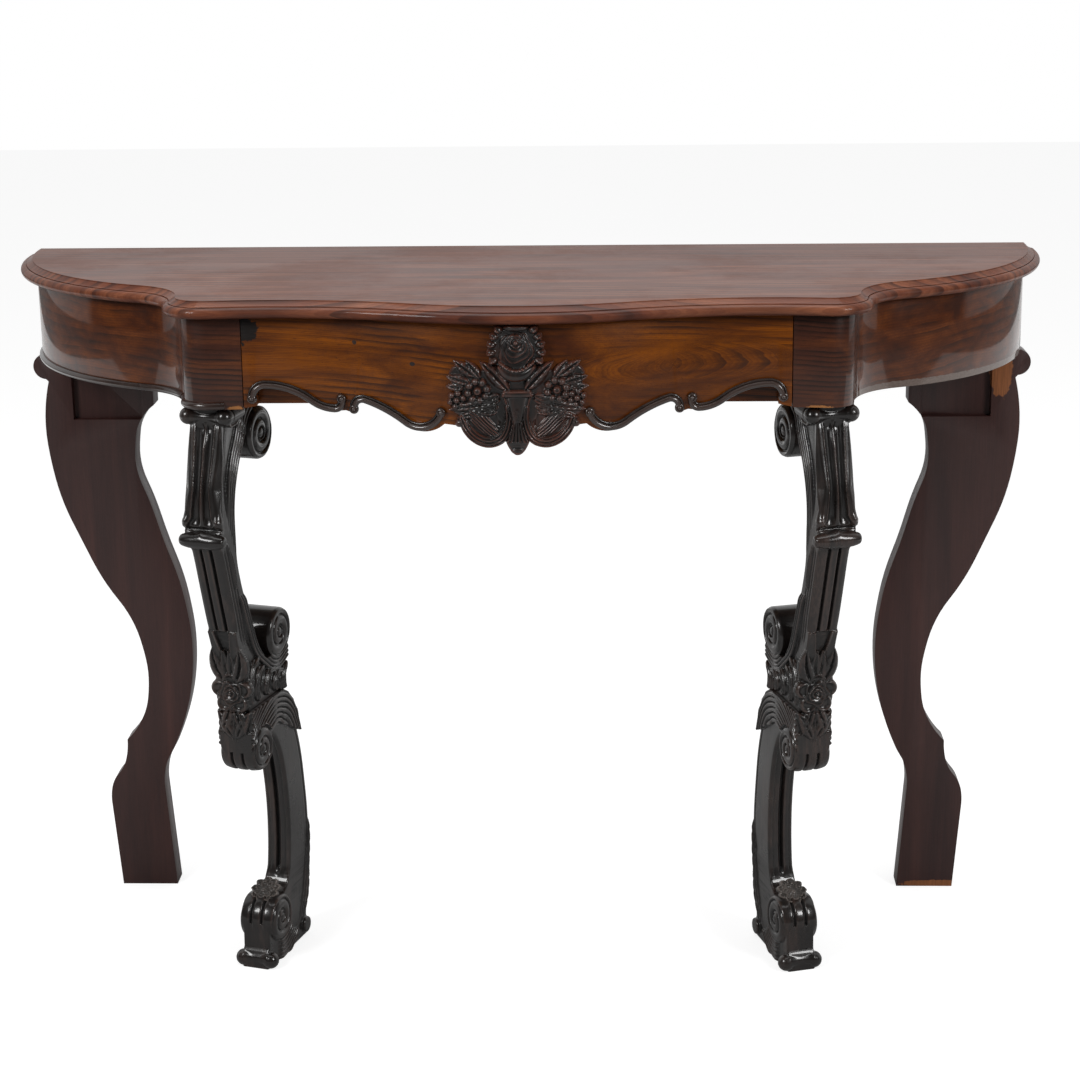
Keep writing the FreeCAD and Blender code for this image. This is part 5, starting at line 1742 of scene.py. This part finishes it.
    def upper(self) -> tuple[np.ndarray, np.ndarray, np.ndarray]:
        """Upper scroll: capital, knee, shaft, middle volute and the rose on its front.

        Returns:
            Points in the leg's frame, in millimetres, faces, and how proud each point stands.
        """
        t, s, z, flat_s, flat_z = self.grid((-33.5, 34.0), (-102.5, 92.0), (self.joint - 3.5, 719.0))
        front, back = flowing(self.knee_front), flowing(self.knee_back)
        outline = np.vstack([[(-62, 716)], front, [(84, 320), (84, 400), (60, 392)], back[::-1],
                             [(30, 690), (2, 716)]])
        plank = outline_field(flat_s, flat_z, outline)
        near_front = line_distance(flat_s, flat_z, front)[0]
        near_back = line_distance(flat_s, flat_z, back)[0]
        facing = rise(near_back - near_front, -4.0, 6.0)
        angles = np.radians(np.linspace(80, 196, 16))
        rim = np.column_stack([30 + 31 * np.cos(angles), 668 + 31 * np.sin(angles)])
        stream = line_distance(flat_s, flat_z, np.vstack([rim, back[2:]]))[0]
        pitch = np.interp(flat_z, [500, 560, 640, 700], [2.6, 3.6, 5.6, 6.4])
        tips = rise(flat_z - stream * 3.0, 520.0, 560.0)
        side = 19.2 - 1.4 * rise(flat_z, 470.0, 430.0) - 0.6 * rise(flat_z, 560.0, 600.0)
        flange = np.interp(flat_z, [560, 580, 588, 600, 625, 660, 690, 700],
                           [0, 5.6, 6.2, 3.4, 4.6, 3.2, 1.0, 0.5])
        side = side + flange * ridge(near_front, 8.5, 4) + 1.1 * flange / 5 * ridge(near_front - 7, 2.0)
        side = side - 3.2 * rise(flat_z, 570.0, 590.0) * ridge(near_front - 13.0, 2.2)
        side = side + reeds(stream, pitch, 4, 3.8) * tips - 2.4 * tips
        lines = rise(flat_z, 556.0, 540.0) * rise(flat_z, 420.0, 450.0)
        for offset in (8.5, 14.5, 20.5):
            side = side - lines * 2.2 * ridge(near_front - offset, 1.0)
        side = np.maximum(side, self.husks(flat_s, flat_z))
        flat_t, front_z = np.broadcast_arrays(t[:, 0], z[:, 0])
        relief = self.front_relief(flat_t, front_z)[:, None, :]
        body = common(plank[None] - relief * facing[None], np.abs(t) - side[None], 2.0)
        plane = (t, flat_s, flat_z)
        body = merged(body, self.volute(plane, (30, 668), 31, -1, 95, False, 25.0), 1.2)
        body = merged(body, self.volute(plane, (57, 417), 30, 1, 205, False, 25.0), 1.2)
        body = merged(body, self.knee_roll(t, s, z), 0.8)
        body = merged(body, self.capital(t, s, z, flat_s, flat_z), 1.0)
        body = merged(body, self.applied(t, s, z), 0.4)
        body = np.maximum(body, np.maximum(z - 715.9, self.joint - z))
        return carved_mesh(body, (t.min(), s.min(), z.min()), self.step)

    @staticmethod
    def husks(s: np.ndarray, z: np.ndarray) -> np.ndarray:
        """Acanthus husks on the sides of the middle block and beside the shaft.

        Args:
            s: coordinates from front to back in the leg's plane.
            z: heights in it.

        Returns:
            Half width of the leg there, 0 where there are none.
        """
        leaves = Relief(s, z, 0.0)
        for points, width, top in (
                (((-20, 350), (-22, 372), (-12, 394), (4, 402)), 8.5, 23.6),
                (((2, 348), (-4, 364), (2, 382), (18, 388)), 7.5, 23.2),
                (((26, 348), (20, 360), (28, 374), (46, 376)), 7.5, 23.4),
                (((48, 346), (44, 358), (54, 368), (70, 366)), 7.0, 23.2),
                (((84, 326), (70, 340), (68, 358), (80, 374)), 9.0, 23.6),
                (((-44, 498), (-50, 530), (-62, 558)), 4.6, 21.8)):
            leaves.frond(points, width, 18.4, top, 3.2, 2.4)
        swirl = line_distance(s, z, flowing(((-28, 500), (-14, 462), (4, 420), (28, 398), (52, 384), (80, 392))))[0]
        ridge = 18.6 + reeds(swirl, 4.6, 3, 3.8)
        near = (swirl < 13.8) & (z < 505)
        return np.maximum(leaves.height, np.where(near, ridge * rise(z, 520.0, 480.0), 0.0))

    @staticmethod
    def knee_roll(t: np.ndarray, s: np.ndarray, z: np.ndarray) -> np.ndarray:
        """Field of the cushion under the knee, a little pointed over its middle.

        Args:
            t: coordinates across.
            s: coordinates from front to back.
            z: heights.

        Returns:
            The distance field.
        """
        side = np.abs(t)
        radius = 10.6 - 4.2 * np.clip(side / 28.0, 0, 1) ** 3.2
        point = 1.6 * np.exp(-(side / 5.0) ** 1.4)
        lift = np.where(z > 566, (z - 566) / (0.86 + 0.14 * point), (z - 566) / 0.92)
        return common(np.hypot(s + 83.5, lift) - radius, side - 28.0, 3.0)

    @staticmethod
    def capital(t: np.ndarray, s: np.ndarray, z: np.ndarray, flat_s: np.ndarray, flat_z: np.ndarray) -> np.ndarray:
        """Field of the capital: two rolls with a waisted saddle between them, under a shaped plate.

        Args:
            t: coordinates across.
            s: coordinates from front to back.
            z: heights.
            flat_s: coordinates from front to back in the leg's plane.
            flat_z: heights in it.

        Returns:
            The distance field.
        """
        side = np.abs(t)
        back = np.clip(s, -60.0, -24.0)
        roll = np.sqrt((side - 22.4) ** 2 + (s - back) ** 2 + (z - 704.6) ** 2) - (9.8 + 0.05 * (-60.0 - back))
        roll = roll + 0.9 * ridge(s + 53.0, 1.4)
        saddle = np.hypot(s + 59.0, z - 704.0) - (4.6 + 4.2 * np.clip(side / 18.0, 0, 1) ** 2)
        saddle = common(saddle, side - 20.0, 1.5)
        plate = outline_field(flat_s, flat_z, np.array([(-60, 716.5), (-60, 698), (-50, 691), (-38, 691.5),
                                                        (-24, 697), (-12, 706), (-4, 716.5)], dtype=float))
        rim = 26.4 - 1.4 * rise(-plate, 1.6, 3.4)
        plate = common(plate[None], side - rim[None], 1.2)
        return merged(merged(roll, saddle, 0.8), plate, 1.2)

    def lower(self) -> tuple[np.ndarray, np.ndarray, np.ndarray]:
        """Lower scroll: ridged arch, shin, foot volute, heel and toe.

        Returns:
            Points in the leg's frame, in millimetres, faces, and how proud each point stands.
        """
        t, s, z, flat_s, flat_z = self.grid((-31.5, 32.0), (-34.5, 146.0), (-3.5, self.joint + 3.0))
        front, back = flowing(self.shin_front), flowing(self.shin_back)
        shin = outline_field(flat_s, flat_z, np.vstack([[(20, 318)], front, [(30, 60), (20, 30), (16, 8), (112, 8)],
                                                        back[::-1], [(58, 346)]]))
        near_front = line_distance(flat_s, flat_z, front)[0]
        near_back = line_distance(flat_s, flat_z, back)[0]
        facing = rise(near_back - near_front, -4.0, 6.0)
        side_t = np.abs(t[:, 0])
        groove = (-7.0 * ridge(side_t, 2.4) - 1.4 * ridge(side_t - 10.2, 0.9)
                  - 0.10 * np.clip(side_t - 10.0, 0, None) ** 2)
        groove = groove * rise(z[:, 0], 92.0, 106.0)
        half = 15.6 + 1.2 * rise(flat_z, 110.0, 60.0)
        half = half - 1.1 * ridge(near_back - 6.5, 1.2) * rise(flat_z, 90.0, 120.0)
        leaf = Relief(flat_s, flat_z, 0.0)
        leaf.leaf((104, 26), (130, 80), (136, 158), 8.5, 14.5, 20.0, 9)
        leaf.leaf((92, 22), (114, 60), (122, 112), 6.0, 14.5, 19.0, 6)
        half = np.maximum(half, leaf.height)
        body = common(shin[None] - groove[:, None, :] * facing[None], np.abs(t) - half[None], 2.4)
        relief = self.front_relief(*np.broadcast_arrays(t[:, 0], z[:, 0]))[:, None, :]
        plane = (t, flat_s, flat_z)
        body = merged(body, self.arch(plane, relief), 1.0)
        body = merged(body, self.volute(plane, (3, 288), 28, 1, 40, True, 24.0), 0.8)
        body = merged(body, self.volute(plane, (34, 56), 30, -1, 250, True, 24.0), 0.8)
        body = merged(body, self.foot(t, s, z, flat_s, flat_z), 1.4)
        body = merged(body, self.applied(t, s, z), 0.4)
        body = np.maximum(body, np.maximum(z - self.joint, 0.05 - z))
        return carved_mesh(body, (t.min(), s.min(), z.min()), self.step)

    @staticmethod
    def arch(plane: tuple, relief: np.ndarray) -> np.ndarray:
        """Field of the ridged arch that rolls over from the front volute to a pointed lip.

        Args:
            plane: coordinates across, and those of the leg's plane.
            relief: carving on the front of the leg.

        Returns:
            The distance field.
        """
        t, s, z = plane
        outline = np.array([(-25.0, 346), (58, 346), (76, 336), (90, 322), (101, 304), (110, 274), (96, 280),
                            (82, 289), (66, 297), (46, 301), (32, 296), (24, 300), (3, 276), (-25, 290)])
        plank = outline_field(s, z, outline)
        reach = np.hypot(s - 3, z - 288) - 28.0
        back = line_distance(s, z, flowing(((-20, 306), (-6, 322), (14, 334), (38, 342), (62, 340), (82, 328),
                                            (97, 308), (110, 274))))[0]
        pitch = np.interp(s, [-10.0, 60.0, 110.0], [5.2, 6.4, 2.6])
        half = 19.0 + reeds(back + 0.5, pitch, 6, 4.6) * rise(reach, -1.0, 1.5)
        near = rise(s, -2.0, -16.0) * rise(z, 300.0, 312.0)
        return common(plank[None] - relief * near[None], np.abs(t) - half[None], 2.0)

    @staticmethod
    def foot(t: np.ndarray, s: np.ndarray, z: np.ndarray, flat_s: np.ndarray, flat_z: np.ndarray) -> np.ndarray:
        """Field of the ridged sole with a heel roll and two toe knobs joined by a waisted bar.

        Args:
            t: coordinates across.
            s: coordinates from front to back.
            z: heights.
            flat_s: coordinates from front to back in the leg's plane.
            flat_z: heights in it.

        Returns:
            The distance field.
        """
        side = np.abs(t)
        outline = np.array([(-1.0, 0), (116, 0), (119, 10), (112, 26), (98, 30), (84, 20), (70, 24), (60, 40),
                            (34, 56), (5, 56), (4.5, 26), (2, 22), (-1, 15)])
        sole = outline_field(flat_s, flat_z, outline)
        reach = np.hypot(flat_s - 34, flat_z - 56) - 30.0
        half = 17.4 + reeds(reach, 5.4, 6, 4.0) * rise(flat_s, 26.0, 36.0)
        sole = common(sole[None], side - half[None], 2.0)
        heel = common(np.hypot(s - 107, z - 14.5) - 10.2, side - 22.0, 2.5)
        knob = np.sqrt((side - 17.6) ** 2 + (s - 5.5) ** 2 + (z - 10.4) ** 2) - 10.2
        waist = common(np.hypot(s - 5.5, z - 12.0) - (7.4 + 3.0 * (side / 18.0) ** 2), side - 17.0, 1.5)
        return merged(merged(sole, heel, 1.5), merged(knob, waist, 0.6), 0.8)

    def rosette(self) -> tuple[np.ndarray, np.ndarray, np.ndarray]:
        """Leafy shell applied over the foot volute.

        Returns:
            Points in the leg's frame, in millimetres, faces, and how proud each point stands.
        """
        step = self.shell_step
        across = np.arange(-22.0, 22.5, step)
        along = np.arange(-20.0, 20.5, step)
        out = np.arange(-3.5, 13.0, step)
        u, v = np.meshgrid(across, along, indexing="ij")
        shell = Relief(u, v, -6.0)
        shell.petals((0, 0), 12.6, 5.6, 9, 0.5, 5.6, 0.0)
        shell.petals((0, -1), 8.2, 4.6, 7, 2.0, 6.8, 18.0)
        shell.berry((0, -2), 5.6, 3.0, 8.8)
        ring = np.hypot(u, v + 2)
        height = shell.height - 1.5 * ridge(ring - 3.6, 0.7)
        angle = np.arctan2(v + 6, u)
        height += np.where(height > -2, 0.8 * np.cos(angle * 22.0) * rise(np.hypot(u, v + 6), 8.0, 13.0), 0.0)
        floor = -1.8 - 0.02 * v
        field_values = np.maximum(out[None, None, :] - height[:, :, None], floor[:, :, None] - out[None, None, :])
        points, faces, crest = carved_mesh(field_values, (across[0], along[0], out[0]), step)
        lean = math.radians(self.shell_lean)
        back = 38.0 + (points[:, 1] - points[:, 2]) * math.sin(lean)
        up = 88.0 + points[:, 1] * math.cos(lean) + points[:, 2] * math.cos(lean)
        return np.column_stack([points[:, 0], back, up]), faces, crest


# ---- rear legs and carcase --------------------------------------------------------------------------


@dataclass
class RearLegs:
    """Flat sawn rear legs in a dark red-brown stain."""

    raw: Colour = (0.30, 0.105, 0.035)

    def build(self) -> None:
        """Make both legs."""
        for side, hand in (("right", 1), ("left", -1)):
            marks = ()
            if hand > 0:
                marks = (((585.0, 166.0, 690.0), (14.0, 30.0, 34.0), self.raw, 0.18),
                         ((540.0, 166.0, 4.0), (60.0, 60.0, 5.0), self.raw, 0.25))
            stain = StainedWood("stained_leg_" + side, Grain.ALONG_Z, (0.030, 0.013, 0.012), (0.060, 0.023, 0.019),
                                0.42, 0.6, 0.10, marks)
            put(eased_copy("rear_leg_" + side, "sawn_leg_" + side, stain.material(), 0.9), Body.TABLE,
                "stained_leg_wood", "rear_leg_" + side)


@dataclass
class Carcase:
    """The plain pieces inside, which keep their own form."""

    rows: tuple = (
        (Grain.ALONG_X, "oak_rails", ("back_rail", "front_top_rail", "drawer_back", "drawer_bottom")),
        (Grain.ALONG_Y, "oak_runners", ("drawer_runner_right", "drawer_runner_left", "drawer_guide_right",
                                        "drawer_guide_left", "kicker_right", "kicker_left", "drawer_side_right",
                                        "drawer_side_left", "drawer_stops")),
        (Grain.ALONG_Z, "pine_blocks", ("glue_blocks", "leg_dowels")),
    )
    dark: Colour = (0.165, 0.088, 0.040)
    pale: Colour = (0.330, 0.190, 0.094)

    def build(self) -> None:
        """Dress the carcase in aged bare wood, and the pieces that show in stain."""
        for grain, name, nodes in self.rows:
            material = StainedWood(name, grain, self.dark, self.pale, 0.6, 0.0, 0.3).material()
            for node in nodes:
                self.dress(node, material)
        stain = StainedWood("stained_posts", Grain.ALONG_Z, (0.030, 0.011, 0.009), (0.075, 0.024, 0.016), 0.5, 0.2,
                            0.15).material()
        for node in ("rear_post_right", "rear_post_left"):
            self.dress(node, stain)
        rail = Rosewood("rosewood_low_rail", shift=(0.9, 0.3, 0.2)).material()
        self.dress("front_bottom_rail", rail)

    @staticmethod
    def dress(node: str, material: bpy.types.Material) -> None:
        """Give a node a finish.

        Args:
            node: name of the node.
            material: its finish.
        """
        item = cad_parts[node]
        if not item.material_slots:
            item.data.materials.append(material)
        for slot in item.material_slots:
            slot.link = "OBJECT"
            slot.material = material


@dataclass
class TopScrews:
    """Countersunk slotted screws through the kickers into the top."""

    rows: tuple = (-20.0, 70.0, 160.0)
    across: float = 288.5
    head_level: float = 805.0
    head: float = 4.0
    shank: float = 2.0
    long: float = 26.0
    seed: int = 7
    half_turn: float = 3.1

    def screw(self) -> bpy.types.Object:
        """Make one screw, point up, standing on its slotted head.

        Returns:
            The screw.
        """
        count = 16
        profile = [(self.head, 0.0), (self.head, 0.25), (self.shank, 2.2)]
        for turn in range(9):
            level = 5.0 + turn * 2.1
            profile += [(self.shank * 0.72, level), (self.shank, level + 1.0)]
        profile.append((self.shank * 0.3, self.long - 0.2))
        angle = np.linspace(0, 2 * math.pi, count, endpoint=False)
        points = [np.column_stack([radius * np.cos(angle), radius * np.sin(angle), np.full(count, level)])
                  for radius, level in profile]
        slot = [(-3.6, -0.5, 0.0), (3.6, -0.5, 0.0), (3.6, 0.5, 0.0), (-3.6, 0.5, 0.0),
                (-3.2, -0.5, 0.9), (3.2, -0.5, 0.9), (3.2, 0.5, 0.9), (-3.2, 0.5, 0.9)]
        base = len(profile) * count
        faces = ring_faces(len(profile), count)
        faces.append([base - count + index for index in range(count)])
        near = [base + (index // 4 + 2) % 4 for index in range(count)]
        for index in range(count):
            after = (index + 1) % count
            faces.append([after, index, near[index]] + ([near[after]] if near[after] != near[index] else []))
        walls = ((0, 1, 5, 4), (1, 2, 6, 5), (2, 3, 7, 6), (3, 0, 4, 7), (4, 5, 6, 7))
        faces += [[base + index for index in row] for row in walls]
        return new_piece("slotted_screw", np.vstack(points + [slot]), faces, OldSteel().material(), 40.0)

    def build(self) -> None:
        """Set the screws on their points with Geometry Nodes."""
        model = self.screw()
        places = [(hand * self.across, y, self.head_level) for hand in (-1, 1) for y in self.rows]
        carrier = new_object("screws", bpy.data.meshes.new("screws"))
        carrier.data.from_pydata((np.array(places) * MM).tolist(), [], [])
        tree = Construction("set_screws", Screw="Object", Seed="Int", Finish="Material")
        info = tree.step("GeometryNodeObjectInfo", {"Object": tree.given["Screw"]})
        turn = tree.step("FunctionNodeRandomValue", {"Seed": tree.given["Seed"], 3: self.half_turn},
                         data_type="FLOAT")
        turned = tree.step("ShaderNodeCombineXYZ", {"Z": turn.outputs[1]}).outputs[0]
        spread = tree.step("GeometryNodeInstanceOnPoints", {
            "Points": tree.given["Geometry"], "Instance": info.outputs["Geometry"], "Rotation": turned})
        tree.close(spread.outputs[0])
        tree.fit(carrier, Screw=model, Seed=self.seed, Finish=model.data.materials[0])
        bake(carrier)
        bpy.data.objects.remove(model)
        shade(carrier, 40.0)
        put(carrier, Body.TABLE, "steel_screws", "top_screws")


# ---- studio -----------------------------------------------------------------------------------------


@dataclass
class Studio:
    """Pale floor, soft light and the camera."""

    eye: tuple[float, float, float] = (0.1213, -2.7659, 1.2916)
    pitch: float = 0.271992939
    roll: float = -0.0119417826
    yaw: float = -0.0372957905
    lens: float = 80.0
    sensor: float = 36.0
    lamps: tuple = (
        ("left_softbox", (-2.0, -2.1, 2.2), (0.0, 0.0, 0.5), 0.95, 46.0),
        ("right_softbox", (2.2, -1.9, 1.9), (0.0, 0.0, 0.5), 0.85, 38.0),
        ("top_softbox", (0.0, 0.1, 3.0), (0.0, 0.0, 0.8), 2.0, 30.0),
    )
    floor_half: float = 9.0
    floor_grey: float = 0.42
    floor_glow: float = 0.77
    sheet_glow: float = 0.90
    room_back: float = 0.06
    room_front: float = 0.70
    room_mirrored: float = 0.40

    def build(self) -> None:
        """Set up floor, lamps, world and camera."""
        self.floor()
        for name, place, aim, width, power in self.lamps:
            light = bpy.data.lights.new(name, "AREA")
            light.shape = "SQUARE"
            light.size = width
            light.energy = power
            lamp = new_object(name, light)
            lamp.location = place
            lamp.rotation_euler = (Vector(aim) - Vector(place)).to_track_quat("-Z", "Y").to_euler()
        self.world()
        self.camera()
        bpy.context.scene.view_settings.view_transform = "Standard"

    def camera(self) -> None:
        """The camera at its height, turned, tipped and rolled."""
        data = bpy.data.cameras.new("camera")
        data.lens = self.lens
        data.sensor_width = self.sensor
        data.sensor_fit = "HORIZONTAL"
        data.clip_end = 50.0
        forward = Vector((math.sin(self.yaw) * math.cos(self.pitch), math.cos(self.yaw) * math.cos(self.pitch),
                          -math.sin(self.pitch)))
        right = Vector((math.cos(self.yaw), -math.sin(self.yaw), 0.0))
        up = right.cross(forward)
        aside = right * math.cos(self.roll) + up * math.sin(self.roll)
        above = -right * math.sin(self.roll) + up * math.cos(self.roll)
        turn = Matrix((aside, above, -forward)).transposed().to_4x4()
        camera = new_object("camera", data)
        camera.matrix_world = Matrix.Translation(self.eye) @ turn
        bpy.context.scene.camera = camera

    def floor(self) -> None:
        """A wide pale floor that keeps the soft shadow; the polish mirrors its bright strips aside."""
        mesh = bpy.data.meshes.new("studio_floor")
        corners = [(x * self.floor_half, y * self.floor_half, 0) for x, y in ((-1, -1), (1, -1), (1, 1), (-1, 1))]
        mesh.from_pydata(corners, [], [(0, 1, 2, 3)])
        floor = new_object("studio_floor", mesh)
        mix = Recipe("pale_floor")
        path = mix.step("ShaderNodeLightPath").outputs
        matte = mix.step("ShaderNodeBsdfDiffuse", {"Color": (*[self.floor_grey] * 3, 1.0)})
        x, y, _ = mix.axes()
        aside = mix.math("ABSOLUTE", x)
        sheet = mix.times(mix.between(aside, 2.95, 2.88), mix.between(aside, 1.4, 1.6))
        sheet = mix.times(sheet, mix.between(y, -0.55, -0.40))
        shine = mix.times(mix.times(sheet, path["Is Glossy Ray"]), self.sheet_glow)
        seen = mix.plus(mix.times(path["Is Camera Ray"], self.floor_glow), shine)
        glow = mix.step("ShaderNodeEmission", {"Color": (1, 1, 1, 1), "Strength": seen})
        both = mix.step("ShaderNodeAddShader", {0: matte.outputs[0], 1: glow.outputs[0]})
        mix.step("ShaderNodeOutputMaterial", {0: both.outputs[0]})
        mesh.materials.append(mix.material)

    def world(self) -> None:
        """White where it is seen, softer where it lights the table."""
        world = bpy.data.worlds.new("studio")
        world.use_nodes = True
        bpy.context.scene.world = world
        tree = NodeTree(world.node_tree)
        path = tree.step("ShaderNodeLightPath").outputs
        seen = tree.math("MAXIMUM", path["Is Camera Ray"], path["Is Transmission Ray"])
        facing = tree.step("ShaderNodeNewGeometry").outputs["Position"]
        split = tree.step("ShaderNodeSeparateXYZ", {0: facing}).outputs
        room = tree.step("ShaderNodeMapRange", {0: split["Y"], 1: -0.02, 2: 0.06, 3: self.room_back,
                                                4: self.room_front}).outputs[0]
        dimmed = tree.step("ShaderNodeMix", {0: path["Is Glossy Ray"], 2: self.room_mirrored, 3: room}).outputs[0]
        strength = tree.step("ShaderNodeMix", {0: seen, 2: dimmed, 3: 1.0}).outputs[0]
        back = tree.step("ShaderNodeBackground", {"Color": (1, 1, 1, 1), "Strength": strength})
        tree.step("ShaderNodeOutputWorld", {"Surface": back.outputs[0]})


def main() -> None:
    """Build the table from the top down, then the studio."""
    logging.basicConfig(level=logging.INFO, format="%(name)s %(message)s")
    mouldings = RunMoulding()
    for part in (TableTop(mouldings), Apron(mouldings), Drawer(mouldings), FrontLegs(), RearLegs(), Carcase(),
                 TopScrews(), Studio()):
        part.build()


if __name__ == "__main__":
    main()
